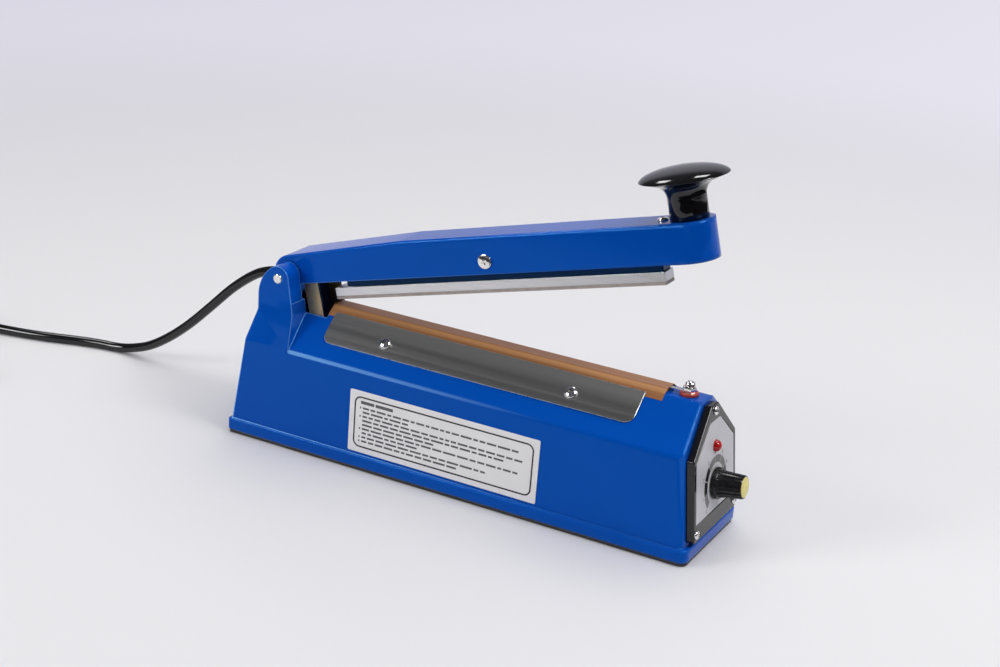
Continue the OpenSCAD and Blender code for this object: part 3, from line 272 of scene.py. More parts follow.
def speckled_tone_group():
    group = bpy.data.node_groups.new("speckled_tone", "ShaderNodeTree")
    face = group.interface
    face.new_socket("Tone", in_out="INPUT", socket_type="NodeSocketColor")
    face.new_socket("Spread", in_out="INPUT", socket_type="NodeSocketFloat")
    face.new_socket("Scale", in_out="INPUT", socket_type="NodeSocketFloat")
    face.new_socket("Gloss", in_out="INPUT", socket_type="NodeSocketFloat")
    face.new_socket("Gloss spread", in_out="INPUT", socket_type="NodeSocketFloat")
    face.new_socket("Grain scale", in_out="INPUT", socket_type="NodeSocketFloat")
    face.new_socket("Colour", in_out="OUTPUT", socket_type="NodeSocketColor")
    face.new_socket("Roughness", in_out="OUTPUT", socket_type="NodeSocketFloat")
    face.new_socket("Height", in_out="OUTPUT", socket_type="NodeSocketFloat")
    start = group.nodes.new("NodeGroupInput")
    end = group.nodes.new("NodeGroupOutput")
    place = group.nodes.new("ShaderNodeTexCoord")
    cloud = group.nodes.new("ShaderNodeTexNoise")
    cloud.inputs["Detail"].default_value = 4.0
    group.links.new(place.outputs["Object"], cloud.inputs["Vector"])
    group.links.new(start.outputs["Scale"], cloud.inputs["Scale"])
    centred = group.nodes.new("ShaderNodeMapRange")
    centred.inputs["From Min"].default_value = 0.3
    centred.inputs["From Max"].default_value = 0.7
    centred.inputs["To Min"].default_value = -1.0
    centred.inputs["To Max"].default_value = 1.0
    group.links.new(cloud.outputs["Fac"], centred.inputs["Value"])
    share = group.nodes.new("ShaderNodeMath")
    share.operation = "MULTIPLY_ADD"
    share.inputs[2].default_value = 1.0
    group.links.new(centred.outputs["Result"], share.inputs[0])
    group.links.new(start.outputs["Spread"], share.inputs[1])
    shade = group.nodes.new("ShaderNodeVectorMath")
    shade.operation = "SCALE"
    group.links.new(start.outputs["Tone"], shade.inputs[0])
    group.links.new(share.outputs[0], shade.inputs["Scale"])
    group.links.new(shade.outputs[0], end.inputs["Colour"])
    polish = group.nodes.new("ShaderNodeMath")
    polish.operation = "MULTIPLY_ADD"
    group.links.new(centred.outputs["Result"], polish.inputs[0])
    group.links.new(start.outputs["Gloss spread"], polish.inputs[1])
    group.links.new(start.outputs["Gloss"], polish.inputs[2])
    group.links.new(polish.outputs[0], end.inputs["Roughness"])
    grain = group.nodes.new("ShaderNodeTexNoise")
    grain.inputs["Detail"].default_value = 2.0
    group.links.new(place.outputs["Object"], grain.inputs["Vector"])
    group.links.new(start.outputs["Grain scale"], grain.inputs["Scale"])
    group.links.new(grain.outputs["Fac"], end.inputs["Height"])
    return group


speckled_tone = speckled_tone_group()


def speckled_finish(name, tone, spread, scale, gloss, gloss_spread, grain_scale, grain_depth):
    material = bpy.data.materials.new(name)
    material.use_nodes = True
    tree = material.node_tree
    shader = tree.nodes["Principled BSDF"]
    toner = tree.nodes.new("ShaderNodeGroup")
    toner.node_tree = speckled_tone
    toner.inputs["Tone"].default_value = (*tone, 1.0)
    toner.inputs["Spread"].default_value = spread
    toner.inputs["Scale"].default_value = scale
    toner.inputs["Gloss"].default_value = gloss
    toner.inputs["Gloss spread"].default_value = gloss_spread
    toner.inputs["Grain scale"].default_value = grain_scale
    tree.links.new(toner.outputs["Colour"], shader.inputs["Base Color"])
    tree.links.new(toner.outputs["Roughness"], shader.inputs["Roughness"])
    bump = tree.nodes.new("ShaderNodeBump")
    bump.inputs["Strength"].default_value = 1.0
    bump.inputs["Distance"].default_value = grain_depth
    tree.links.new(toner.outputs["Height"], bump.inputs["Height"])
    tree.links.new(bump.outputs["Normal"], shader.inputs["Normal"])
    return material


def smooth_through(points, steps):
    line = []
    ends = [2 * points[0] - points[1]] + points + [2 * points[-1] - points[-2]]
    for i in range(1, len(ends) - 2):
        a, b, c, d = ends[i - 1 : i + 3]
        times = [0.0]
        for p, q in ((a, b), (b, c), (c, d)):
            times.append(times[-1] + math.sqrt((q - p).length))
        for k in range(steps):
            t = times[1] + (times[2] - times[1]) * k / steps
            ab = a.lerp(b, t / times[1])
            bc = b.lerp(c, (t - times[1]) / (times[2] - times[1]))
            cd = c.lerp(d, (t - times[2]) / (times[3] - times[2]))
            abc = ab.lerp(bc, t / times[2])
            bcd = bc.lerp(cd, (t - times[1]) / (times[3] - times[1]))
            line.append(abc.lerp(bcd, (t - times[1]) / (times[2] - times[1])))
    line.append(points[-1])
    return line


lead_d = 6.5
lead_dip = math.radians(14.0)
lead_out = Vector((-math.cos(lead_dip), 0.0, -math.sin(lead_dip)))
relief_seat = Vector((-145.6, 21.8, 97.2))
relief_len = 22.0
relief_tip = relief_seat + relief_len * lead_out
lead_route = [
    (-180.4, 21.9, 87.6),
    (-187.3, 22.1, 83.6),
    (-195.3, 22.5, 77.9),
    (-205.0, 23.0, 70.0),
    (-223.0, 24.0, 53.0),
    (-241.0, 25.0, 36.5),
    (-259.0, 26.0, 22.5),
    (-277.0, 27.0, 11.5),
    (-290.0, 27.5, 6.5),
    (-304.0, 27.0, 3.25),
    (-320.0, 24.0, 3.25),
    (-335.0, 20.0, 3.25),
    (-349.0, 15.0, 3.25),
    (-363.0, 10.5, 3.25),
    (-379.0, 6.5, 3.25),
    (-395.0, 3.5, 3.25),
    (-412.0, 1.2, 3.65),
    (-428.0, 0.0, 4.25),
]
coil_start = Vector((-445.0, 0.0, 4.55))
coil_r = 43.0
coil_step = 7.2
coil_rise = 7.1
coil_middle = coil_start - Vector((0.0, coil_r, 0.0))
coil_last = 1620.0
coil_back = 810.0
coil_lift = 720.0
coil_gap = 15.0
tail_steps = 4
plug_rear = Vector((-393.0, -86.0, 7.0))


def coil_point(turn):
    inward = turn if turn < coil_back else coil_last - turn
    radius = coil_r - coil_step * inward / 360.0
    climb = math.radians(min(max(turn - coil_lift, 0.0), 180.0))
    angle = math.radians(90.0 + turn)
    return Vector(
        (
            coil_middle.x + radius * math.cos(angle),
            coil_middle.y + radius * math.sin(angle),
            coil_start.z + coil_rise * (1.0 - math.cos(climb)) / 2.0,
        )
    )


lead_points = [relief_tip, relief_tip + lead_d * lead_out]
lead_points += [Vector(p) for p in lead_route]
lead_stride = Vector((lead_d, 0.0, 0.0))
lead_points += [coil_start + lead_stride, coil_start, coil_start - lead_stride]
lead_points += [coil_point(coil_gap * k) for k in range(1, int(coil_last / coil_gap))]
for step in range(tail_steps):
    along = step / tail_steps
    ease = along * along * (3.0 - 2.0 * along)
    lead_points.append(
        Vector(
            (
                coil_middle.x + along * (plug_rear.x - coil_middle.x - lead_d),
                plug_rear.y,
                (coil_start.z + coil_rise) * (1.0 - ease) + plug_rear.z * ease,
            )
        )
    )
lead_points += [plug_rear - lead_stride, plug_rear]
lead_line = [point * mm for point in smooth_through(lead_points, steps=4)]
lead_curve = bpy.data.curves.new("mains_lead", "CURVE")
lead_curve.dimensions = "3D"
lead_curve.bevel_depth = lead_d * mm / 2.0
lead_curve.bevel_resolution = 6
lead_curve.use_fill_caps = True
lead_spline = lead_curve.splines.new("POLY")
lead_spline.points.add(len(lead_line) - 1)
for spot, place in zip(lead_spline.points, lead_line):
    spot.co = (*place, 1.0)
lead_spline.use_smooth = True
lead = bpy.data.objects.new("mains_lead", lead_curve)
scene.collection.objects.link(lead)
lead_plastic = speckled_finish(
    "lead_plastic", tone=(0.004, 0.004, 0.005), spread=0.25, scale=60.0, gloss=0.13, gloss_spread=0.03,
    grain_scale=900.0, grain_depth=0.00001,
)
lead_plastic.node_tree.nodes["Principled BSDF"].inputs["Specular IOR Level"].default_value = 0.5
lead_curve.materials.append(lead_plastic)
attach(lead, "base")
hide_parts("cord_free", "cord_coil")

# Strain relief, plug and coil tie
# The relief is a ribbed taper of black rubber seated in the end wall of the back ear. The plug is
# moulded on the lead with two plated round pins, and a soft plastic band holds the coil.


def turned_mesh(name, profile, steps):
    work = bmesh.new()
    rings = []
    for radius, height in profile:
        if radius < 1e-6:
            rings.append([work.verts.new((0.0, 0.0, height * mm))])
            continue
        ring = []
        for k in range(steps):
            angle = 2.0 * math.pi * k / steps
            x = radius * mm * math.cos(angle)
            y = radius * mm * math.sin(angle)
            ring.append(work.verts.new((x, y, height * mm)))
        rings.append(ring)
    for low, high in zip(rings, rings[1:]):
        for k in range(steps):
            n = (k + 1) % steps
            if len(low) == 1:
                work.faces.new((low[0], high[n], high[k]))
            elif len(high) == 1:
                work.faces.new((low[k], low[n], high[0]))
            else:
                work.faces.new((low[k], low[n], high[n], high[k]))
    bmesh.ops.recalc_face_normals(work, faces=work.faces)
    mesh = bpy.data.meshes.new(name)
    work.to_mesh(mesh)
    work.free()
    return mesh


def softened(mesh, angle):
    mesh.polygons.foreach_set("use_smooth", [True] * len(mesh.polygons))
    mesh.set_sharp_from_angle(angle=math.radians(angle))
    return mesh


def shown(name, mesh):
    piece = bpy.data.objects.new(name, mesh)
    scene.collection.objects.link(piece)
    return piece


def settle(piece, material, slot_name, *node_names):
    piece.data.materials.clear()
    piece.data.materials.append(material)
    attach(piece, nodes[node_names[0]]["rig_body"])
    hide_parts(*node_names)
    return piece


def plain_mesh(piece):
    depsgraph = bpy.context.evaluated_depsgraph_get()
    mesh = bpy.data.meshes.new_from_object(piece.evaluated_get(depsgraph))
    piece.modifiers.clear()
    return mesh


def eased_copy(node_name, ease, steps=3, sharp=50.0, smooth=35.0, within=None):
    work = bmesh.new()
    work.from_mesh(nodes[node_name].data)
    bmesh.ops.remove_doubles(work, verts=work.verts, dist=2e-6)
    bmesh.ops.dissolve_limit(
        work,
        angle_limit=math.radians(0.5),
        use_dissolve_boundaries=False,
        verts=work.verts,
        edges=work.edges,
    )
    weight = work.edges.layers.float.new("bevel_weight_edge")
    for edge in work.edges:
        if len(edge.link_faces) != 2:
            continue
        if edge.calc_face_angle(0.0) < math.radians(sharp):
            continue
        if not edge.is_convex:
            continue
        if within and not within((edge.verts[0].co + edge.verts[1].co) / 2.0):
            continue
        edge[weight] = 1.0
    mesh = bpy.data.meshes.new(node_name + "_dressed")
    work.to_mesh(mesh)
    work.free()
    softened(mesh, angle=smooth)
    piece = shown(node_name + "_dressed", mesh)
    if ease > 0.0:
        rounding = piece.modifiers.new("rounding", "BEVEL")
        rounding.limit_method = "WEIGHT"
        rounding.width = ease * mm
        rounding.segments = steps
        rounding.use_clamp_overlap = False
        rounding.miter_outer = "MITER_ARC"
        rounding.harden_normals = False
    flat_first = piece.modifiers.new("flat_first", "WEIGHTED_NORMAL")
    flat_first.keep_sharp = True
    flat_first.weight = 80
    piece.data = plain_mesh(piece)
    piece.data.name = node_name + "_dressed"
    return piece


relief_root = -3.4
collar_r = 5.9
collar_end = 1.6
rib_count = 8
rib_first = 2.2
rib_step = 2.3
rib_thick = 1.7
rib_wide_r = 5.7
rib_taper = 1.75
rib_deep = 0.75
rib_ease = 0.35
relief_profile = [(0.0, relief_root), (collar_r, relief_root), (collar_r, collar_end)]
for rib in range(rib_count):
    rib_low = rib_first + rib * rib_step
    rib_high = rib_low + rib_thick
    rib_r = rib_wide_r - rib_taper * rib_low / relief_len
    groove_r = rib_r - rib_deep
    relief_profile += [(groove_r, rib_low), (rib_r, rib_low + rib_ease)]
    relief_profile += [(rib_r, rib_high - rib_ease), (groove_r, rib_high)]
relief_profile += [(3.9, relief_len - 0.6), (3.5, relief_len), (0.0, relief_len)]
relief_mesh = softened(turned_mesh("strain_relief_dressed", relief_profile, steps=40), angle=50.0)
relief_turn = lead_out.to_track_quat("Z", "Y").to_matrix().to_4x4()
relief_mesh.transform(Matrix.Translation(relief_seat * mm) @ relief_turn)
relief = shown("strain_relief_dressed", relief_mesh)
settle(relief, lead_plastic, "black_rubber", "strain_relief")

plug_plastic = speckled_finish(
    "plug_plastic", tone=(0.014, 0.014, 0.015), spread=0.2, scale=90.0, gloss=0.42, gloss_spread=0.06,
    grain_scale=1400.0, grain_depth=0.00005,
)
plug = settle(eased_copy("plug_body", ease=1.6, steps=4), plug_plastic, "black_rubber", "plug_body")
coil_band = settle(eased_copy("coil_tie", ease=0.25, steps=2), plug_plastic, "black_rubber", "coil_tie")


def drawn_lines_group():
    group = bpy.data.node_groups.new("drawn_lines", "ShaderNodeTree")
    face = group.interface
    face.new_socket("Stretch", in_out="INPUT", socket_type="NodeSocketVector")
    face.new_socket("Tone", in_out="INPUT", socket_type="NodeSocketColor")
    face.new_socket("Spread", in_out="INPUT", socket_type="NodeSocketFloat")
    face.new_socket("Gloss", in_out="INPUT", socket_type="NodeSocketFloat")
    face.new_socket("Gloss spread", in_out="INPUT", socket_type="NodeSocketFloat")
    face.new_socket("Colour", in_out="OUTPUT", socket_type="NodeSocketColor")
    face.new_socket("Roughness", in_out="OUTPUT", socket_type="NodeSocketFloat")
    face.new_socket("Height", in_out="OUTPUT", socket_type="NodeSocketFloat")
    start = group.nodes.new("NodeGroupInput")
    end = group.nodes.new("NodeGroupOutput")
    place = group.nodes.new("ShaderNodeTexCoord")
    pull = group.nodes.new("ShaderNodeVectorMath")
    pull.operation = "MULTIPLY"
    group.links.new(place.outputs["Object"], pull.inputs[0])
    group.links.new(start.outputs["Stretch"], pull.inputs[1])
    lines = group.nodes.new("ShaderNodeTexNoise")
    lines.inputs["Scale"].default_value = 1.0
    lines.inputs["Detail"].default_value = 3.0
    group.links.new(pull.outputs[0], lines.inputs["Vector"])
    centred = group.nodes.new("ShaderNodeMapRange")
    centred.inputs["From Min"].default_value = 0.3
    centred.inputs["From Max"].default_value = 0.7
    centred.inputs["To Min"].default_value = -1.0
    centred.inputs["To Max"].default_value = 1.0
    group.links.new(lines.outputs["Fac"], centred.inputs["Value"])
    share = group.nodes.new("ShaderNodeMath")
    share.operation = "MULTIPLY_ADD"
    share.inputs[2].default_value = 1.0
    group.links.new(centred.outputs["Result"], share.inputs[0])
    group.links.new(start.outputs["Spread"], share.inputs[1])
    shade = group.nodes.new("ShaderNodeVectorMath")
    shade.operation = "SCALE"
    group.links.new(start.outputs["Tone"], shade.inputs[0])
    group.links.new(share.outputs[0], shade.inputs["Scale"])
    group.links.new(shade.outputs[0], end.inputs["Colour"])
    polish = group.nodes.new("ShaderNodeMath")
    polish.operation = "MULTIPLY_ADD"
    group.links.new(centred.outputs["Result"], polish.inputs[0])
    group.links.new(start.outputs["Gloss spread"], polish.inputs[1])
    group.links.new(start.outputs["Gloss"], polish.inputs[2])
    group.links.new(polish.outputs[0], end.inputs["Roughness"])
    group.links.new(lines.outputs["Fac"], end.inputs["Height"])
    return group


drawn_lines = drawn_lines_group()


def drawn_metal(name, tone, spread, stretch, gloss, gloss_spread, depth):
    material = bpy.data.materials.new(name)
    material.use_nodes = True
    tree = material.node_tree
    shader = tree.nodes["Principled BSDF"]
    shader.inputs["Metallic"].default_value = 1.0
    liner = tree.nodes.new("ShaderNodeGroup")
    liner.node_tree = drawn_lines
    liner.inputs["Stretch"].default_value = stretch
    liner.inputs["Tone"].default_value = (*tone, 1.0)
    liner.inputs["Spread"].default_value = spread
    liner.inputs["Gloss"].default_value = gloss
    liner.inputs["Gloss spread"].default_value = gloss_spread
    tree.links.new(liner.outputs["Colour"], shader.inputs["Base Color"])
    tree.links.new(liner.outputs["Roughness"], shader.inputs["Roughness"])
    bump = tree.nodes.new("ShaderNodeBump")
    bump.inputs["Strength"].default_value = 1.0
    bump.inputs["Distance"].default_value = depth
    tree.links.new(liner.outputs["Height"], bump.inputs["Height"])
    tree.links.new(bump.outputs["Normal"], shader.inputs["Normal"])
    return material


bright_plate = drawn_metal(
    "bright_plate", tone=(0.78, 0.77, 0.74), spread=0.06, stretch=(700.0, 700.0, 700.0), gloss=0.2,
    gloss_spread=0.05, depth=0.000004,
)
plug_pair = settle(
    eased_copy("plug_pins", ease=0.5, steps=3), bright_plate, "plated_steel", "plug_pins"
)

# Housing
# One pressed and welded steel shell with a step at its foot, a hipped top and two hinge ears, all
# sprayed glossy blue with a faint ripple. Its edges are rounded in the shading, and a painted highlight
# pales them, strong towards the hinge, fading towards the dial end and weaker above the shoulder.


def sprayed_edge_group():
    group = bpy.data.node_groups.new("edge_rounding_and_highlight", "ShaderNodeTree")
    face = group.interface
    face.new_socket("Tone", in_out="INPUT", socket_type="NodeSocketColor")
    face.new_socket("Edge tone", in_out="INPUT", socket_type="NodeSocketColor")
    face.new_socket("Foot reach", in_out="INPUT", socket_type="NodeSocketFloat")
    face.new_socket("Upper reach", in_out="INPUT", socket_type="NodeSocketFloat")
    face.new_socket("Colour", in_out="OUTPUT", socket_type="NodeSocketColor")
    face.new_socket("Normal", in_out="OUTPUT", socket_type="NodeSocketVector")
    start = group.nodes.new("NodeGroupInput")
    end = group.nodes.new("NodeGroupOutput")
    place = group.nodes.new("ShaderNodeTexCoord")
    split = group.nodes.new("ShaderNodeSeparateXYZ")
    group.links.new(place.outputs["Object"], split.inputs["Vector"])
    reach = group.nodes.new("ShaderNodeMapRange")
    reach.inputs["From Min"].default_value = 14.0 * mm
    reach.inputs["From Max"].default_value = 20.0 * mm
    group.links.new(split.outputs["Z"], reach.inputs["Value"])
    group.links.new(start.outputs["Foot reach"], reach.inputs["To Min"])
    group.links.new(start.outputs["Upper reach"], reach.inputs["To Max"])
    wider = group.nodes.new("ShaderNodeMapRange")
    wider.inputs["From Min"].default_value = 20.0 * mm
    wider.inputs["From Max"].default_value = 130.0 * mm
    wider.inputs["To Min"].default_value = 1.0
    wider.inputs["To Max"].default_value = 2.4
    group.links.new(split.outputs["X"], wider.inputs["Value"])
    radius = group.nodes.new("ShaderNodeMath")
    radius.operation = "MULTIPLY"
    group.links.new(reach.outputs["Result"], radius.inputs[0])
    group.links.new(wider.outputs["Result"], radius.inputs[1])
    rounding = group.nodes.new("ShaderNodeBevel")
    rounding.samples = 8
    group.links.new(radius.outputs[0], rounding.inputs["Radius"])
    group.links.new(rounding.outputs["Normal"], end.inputs["Normal"])
    ears = group.nodes.new("ShaderNodeMapRange")
    ears.inputs["From Min"].default_value = 64.6 * mm
    ears.inputs["From Max"].default_value = 65.2 * mm
    group.links.new(split.outputs["Z"], ears.inputs["Value"])
    surface = group.nodes.new("ShaderNodeNewGeometry")
    facing = group.nodes.new("ShaderNodeMix")
    facing.data_type = "VECTOR"
    facing_inputs = {socket.identifier: socket for socket in facing.inputs}
    facing_outputs = {socket.identifier: socket for socket in facing.outputs}
    group.links.new(ears.outputs["Result"], facing_inputs["Factor_Float"])
    group.links.new(surface.outputs["True Normal"], facing_inputs["A_Vector"])
    group.links.new(surface.outputs["Normal"], facing_inputs["B_Vector"])
    bend = group.nodes.new("ShaderNodeVectorMath")
    bend.operation = "DOT_PRODUCT"
    group.links.new(rounding.outputs["Normal"], bend.inputs[0])
    group.links.new(facing_outputs["Result_Vector"], bend.inputs[1])
    # Edges whose rounded shading normal bends away from the face are painted paler: a painted highlight.
    edge = group.nodes.new("ShaderNodeMapRange")
    edge.inputs["From Min"].default_value = 0.966
    edge.inputs["From Max"].default_value = 0.93
    group.links.new(bend.outputs["Value"], edge.inputs["Value"])
    fainter = group.nodes.new("ShaderNodeMapRange")
    fainter.inputs["To Min"].default_value = 1.0
    fainter.inputs["To Max"].default_value = 0.55
    group.links.new(ears.outputs["Result"], fainter.inputs["Value"])
    wear_and_highlight = group.nodes.new("ShaderNodeMath")
    wear_and_highlight.operation = "MULTIPLY"
    group.links.new(edge.outputs["Result"], wear_and_highlight.inputs[0])
    group.links.new(fainter.outputs["Result"], wear_and_highlight.inputs[1])
    # The painted highlight is strong at the hinge end and fades out towards the dial end.
    highlight_fade = group.nodes.new("ShaderNodeMapRange")
    highlight_fade.inputs["From Min"].default_value = -120.0 * mm
    highlight_fade.inputs["From Max"].default_value = 60.0 * mm
    highlight_fade.inputs["To Min"].default_value = 0.9
    highlight_fade.inputs["To Max"].default_value = 0.05
    group.links.new(split.outputs["X"], highlight_fade.inputs["Value"])
    share = group.nodes.new("ShaderNodeMath")
    share.operation = "MULTIPLY"
    group.links.new(wear_and_highlight.outputs[0], share.inputs[0])
    group.links.new(highlight_fade.outputs["Result"], share.inputs[1])
    paler = group.nodes.new("ShaderNodeMix")
    paler.data_type = "RGBA"
    paler_inputs = {socket.identifier: socket for socket in paler.inputs}
    paler_outputs = {socket.identifier: socket for socket in paler.outputs}
    group.links.new(share.outputs[0], paler_inputs["Factor_Float"])
    group.links.new(start.outputs["Tone"], paler_inputs["A_Color"])
    group.links.new(start.outputs["Edge tone"], paler_inputs["B_Color"])
    group.links.new(paler_outputs["Result_Color"], end.inputs["Colour"])
    return group


edge_rounding_and_highlight = sprayed_edge_group()


def blue_spray(name, tone, highlight_tone, foot_reach, upper_reach):
    material = speckled_finish(
        name, tone=tone, spread=0.05, scale=9.0, gloss=0.12, gloss_spread=0.03, grain_scale=330.0,
        grain_depth=0.00001,
    )
    tree = material.node_tree
    shader = tree.nodes["Principled BSDF"]
    shader.inputs["Specular IOR Level"].default_value = 0.36
    shader.inputs["Specular Tint"].default_value = (0.12, 0.5, 1.0, 1.0)
    # The group rounds the edges in the shading and paints them paler towards the highlight tone, a
    # painted highlight.
    edges = tree.nodes.new("ShaderNodeGroup")
    edges.node_tree = edge_rounding_and_highlight
    edges.inputs["Edge tone"].default_value = (*highlight_tone, 1.0)
    edges.inputs["Foot reach"].default_value = foot_reach * mm
    edges.inputs["Upper reach"].default_value = upper_reach * mm
    speckled = shader.inputs["Base Color"].links[0].from_socket
    tree.links.new(speckled, edges.inputs["Tone"])
    tree.links.new(edges.outputs["Colour"], shader.inputs["Base Color"])
    tree.links.new(edges.outputs["Normal"], tree.nodes["Bump"].inputs["Normal"])
    return material


foot_top = 10.5


def on_the_foot(spot):
    return spot.z < foot_top * mm


sprayed_blue = (0.0005, 0.068, 0.405)
# The light blue that the edges are painted towards, a painted highlight.
painted_highlight_blue = (0.19, 0.46, 0.92)
blue_paint = blue_spray(
    "housing_blue", tone=sprayed_blue, highlight_tone=painted_highlight_blue, foot_reach=1.2, upper_reach=1.4
)
eased_housing = eased_copy("housing", ease=0.9, steps=4, sharp=48.0, smooth=33.0, within=on_the_foot)
settle(eased_housing, blue_paint, "blue_paint", "housing")

# Base plate and its screws
# A flat sheet of black-painted steel closes the underside. Countersunk plated screws hold it to
# bosses in the housing's corners.
base_paint = speckled_finish(
    "base_paint", tone=(0.02, 0.02, 0.022), spread=0.2, scale=40.0, gloss=0.5, gloss_spread=0.06,
    grain_scale=700.0, grain_depth=0.00004,
)
settle(eased_copy("base_plate", ease=0.3, steps=2), base_paint, "black_steel", "base_plate")
settle(eased_copy("base_screws", ease=0.2, steps=2), bright_plate, "plated_steel", "base_screws")

# Label
# A thin white plastic plate, glued to the front face. It is printed with a black rounded frame and
# with rows of short grey bars.
label_white = speckled_finish(
    "label_white", tone=(0.80, 0.79, 0.79), spread=0.025, scale=55.0, gloss=0.36, gloss_spread=0.05,
    grain_scale=1500.0, grain_depth=0.000012,
)
settle(eased_copy("label_plate", ease=0.12, steps=2), label_white, "label_white", "label_plate")
label_lean = math.radians(1.48)
label_out = Vector((0.0, -math.cos(label_lean), math.sin(label_lean)))
label_up = Vector((0.0, math.sin(label_lean), math.cos(label_lean)))
label_across = Vector((1.0, 0.0, 0.0))
label_len = 131.6
label_w = 40.4
label_left = -69.3
label_face = max(vertex.co.dot(label_out) for vertex in nodes["label_plate"].data.vertices)
label_base = min(vertex.co.dot(label_up) for vertex in nodes["label_plate"].data.vertices)
label_place = Matrix((label_across, label_up, label_out)).transposed().to_4x4()
label_place.translation = label_out * label_face + label_up * label_base + label_across * label_left * mm
frame_in = 3.5
frame_line = 1.0
frame_corner = 4.6
corner_steps = 10
ink_thick = 0.03


def rounded_outline(inset, radius):
    low = inset + radius
    right = label_len - low
    high = label_w - low
    corners = ((right, low, -90.0), (right, high, 0.0), (low, high, 90.0), (low, low, 180.0))
    outline = []
    for cx, cy, first in corners:
        for k in range(corner_steps + 1):
            angle = math.radians(first + 90.0 * k / corner_steps)
            outline.append((cx + radius * math.cos(angle), cy + radius * math.sin(angle)))
    return outline


def printed_band(name, outer, inner, thick):
    count = len(outer)
    places = []
    for outline, height in ((outer, 0.0), (inner, 0.0), (outer, thick), (inner, thick)):
        places += [(x * mm, y * mm, height * mm) for x, y in outline]
    faces = []
    for k in range(count):
        n = (k + 1) % count
        faces.append((2 * count + k, 2 * count + n, 3 * count + n, 3 * count + k))
        faces.append((k, n, 2 * count + n, 2 * count + k))
        faces.append((count + n, count + k, 3 * count + k, 3 * count + n))
        faces.append((n, k, count + k, count + n))
    mesh = bpy.data.meshes.new(name)
    mesh.from_pydata(places, [], faces)
    return mesh


label_frame_mesh = printed_band(
    "label_frame",
    outer=rounded_outline(frame_in, frame_corner),
    inner=rounded_outline(frame_in + frame_line, frame_corner - frame_line),
    thick=ink_thick,
)
label_frame_mesh.transform(label_place)
label_frame = shown("label_frame", label_frame_mesh)
print_black = speckled_finish(
    "print_black", tone=(0.006, 0.006, 0.007), spread=0.3, scale=800.0, gloss=0.4, gloss_spread=0.08,
    grain_scale=2500.0, grain_depth=0.000008,
)
label_frame_mesh.materials.append(print_black)
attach(label_frame, "base")


def set_input(modifier, name, value):
    for socket in modifier.node_group.interface.items_tree:
        if socket.item_type == "SOCKET" and socket.in_out == "INPUT" and socket.name == name:
            modifier[socket.identifier] = value


def printed_bars_tree():
    tree = bpy.data.node_groups.new("printed_bars", "GeometryNodeTree")
    face = tree.interface
    face.new_socket("Places", in_out="INPUT", socket_type="NodeSocketGeometry")
    face.new_socket("Bar thickness", in_out="INPUT", socket_type="NodeSocketFloat")
    face.new_socket("Ink", in_out="INPUT", socket_type="NodeSocketMaterial")
    face.new_socket("Bars", in_out="OUTPUT", socket_type="NodeSocketGeometry")
    start = tree.nodes.new("NodeGroupInput")
    end = tree.nodes.new("NodeGroupOutput")
    bar = tree.nodes.new("GeometryNodeMeshCube")
    bar_len = tree.nodes.new("GeometryNodeInputNamedAttribute")
    bar_len.data_type = "FLOAT"
    bar_len.inputs["Name"].default_value = "bar_length"
    bar_tall = tree.nodes.new("GeometryNodeInputNamedAttribute")
    bar_tall.data_type = "FLOAT"
    bar_tall.inputs["Name"].default_value = "bar_height"
    sizes = tree.nodes.new("ShaderNodeCombineXYZ")
    put = tree.nodes.new("GeometryNodeInstanceOnPoints")
    real = tree.nodes.new("GeometryNodeRealizeInstances")
    ink = tree.nodes.new("GeometryNodeSetMaterial")
    tree.links.new(bar_len.outputs["Attribute"], sizes.inputs["X"])
    tree.links.new(bar_tall.outputs["Attribute"], sizes.inputs["Y"])
    tree.links.new(start.outputs["Bar thickness"], sizes.inputs["Z"])
    tree.links.new(start.outputs["Places"], put.inputs["Points"])
    tree.links.new(bar.outputs["Mesh"], put.inputs["Instance"])
    tree.links.new(sizes.outputs["Vector"], put.inputs["Scale"])
    tree.links.new(put.outputs["Instances"], real.inputs["Geometry"])
    tree.links.new(real.outputs["Geometry"], ink.inputs["Geometry"])
    tree.links.new(start.outputs["Ink"], ink.inputs["Material"])
    tree.links.new(ink.outputs["Geometry"], end.inputs["Bars"])
    return tree


heading_y = 33.2
heading_tall = 2.0
row_first = 29.6
row_step = 2.72
row_start = 9.6
row_ends = (118.0, 46.0, 121.0, 112.0, 64.0, 122.0, 52.0, 97.0, 78.0)
row_slack = 3.0
marked_rows = (0, 2, 5, 7, 8)
mark_x = 7.4
mark_len = 0.9
word_tall = 1.25
word_least = 2.4
word_most = 8.6
word_gap = 1.15
word_pick = random.Random(7)
bar_rows = [(8.0, heading_y, 9.6, heading_tall), (18.6, heading_y, 12.4, heading_tall)]
for row, row_end in enumerate(row_ends):
    row_y = row_first - row * row_step
    word_x = row_start
    if row in marked_rows:
        bar_rows.append((mark_x, row_y, mark_len, word_tall))
    while word_x < row_end - row_slack:
        word_len = min(word_pick.uniform(word_least, word_most), row_end - word_x)
        bar_rows.append((word_x, row_y, word_len, word_tall))
        word_x += word_len + word_gap
ink_middle = ink_thick / 2.0
bar_points = bpy.data.meshes.new("bar_places")
bar_points.from_pydata([((x + w / 2) * mm, y * mm, ink_middle * mm) for x, y, w, h in bar_rows], [], [])
bar_lengths = bar_points.attributes.new("bar_length", "FLOAT", "POINT")
bar_heights = bar_points.attributes.new("bar_height", "FLOAT", "POINT")
for k, (x, y, w, h) in enumerate(bar_rows):
    bar_lengths.data[k].value = w * mm
    bar_heights.data[k].value = h * mm
print_grey = speckled_finish(
    "print_grey", tone=(0.085, 0.085, 0.09), spread=0.35, scale=900.0, gloss=0.45, gloss_spread=0.08,
    grain_scale=2500.0, grain_depth=0.000008,
)
label_bars = shown("label_bars", bar_points)
bar_maker = label_bars.modifiers.new("printed_bars", "NODES")
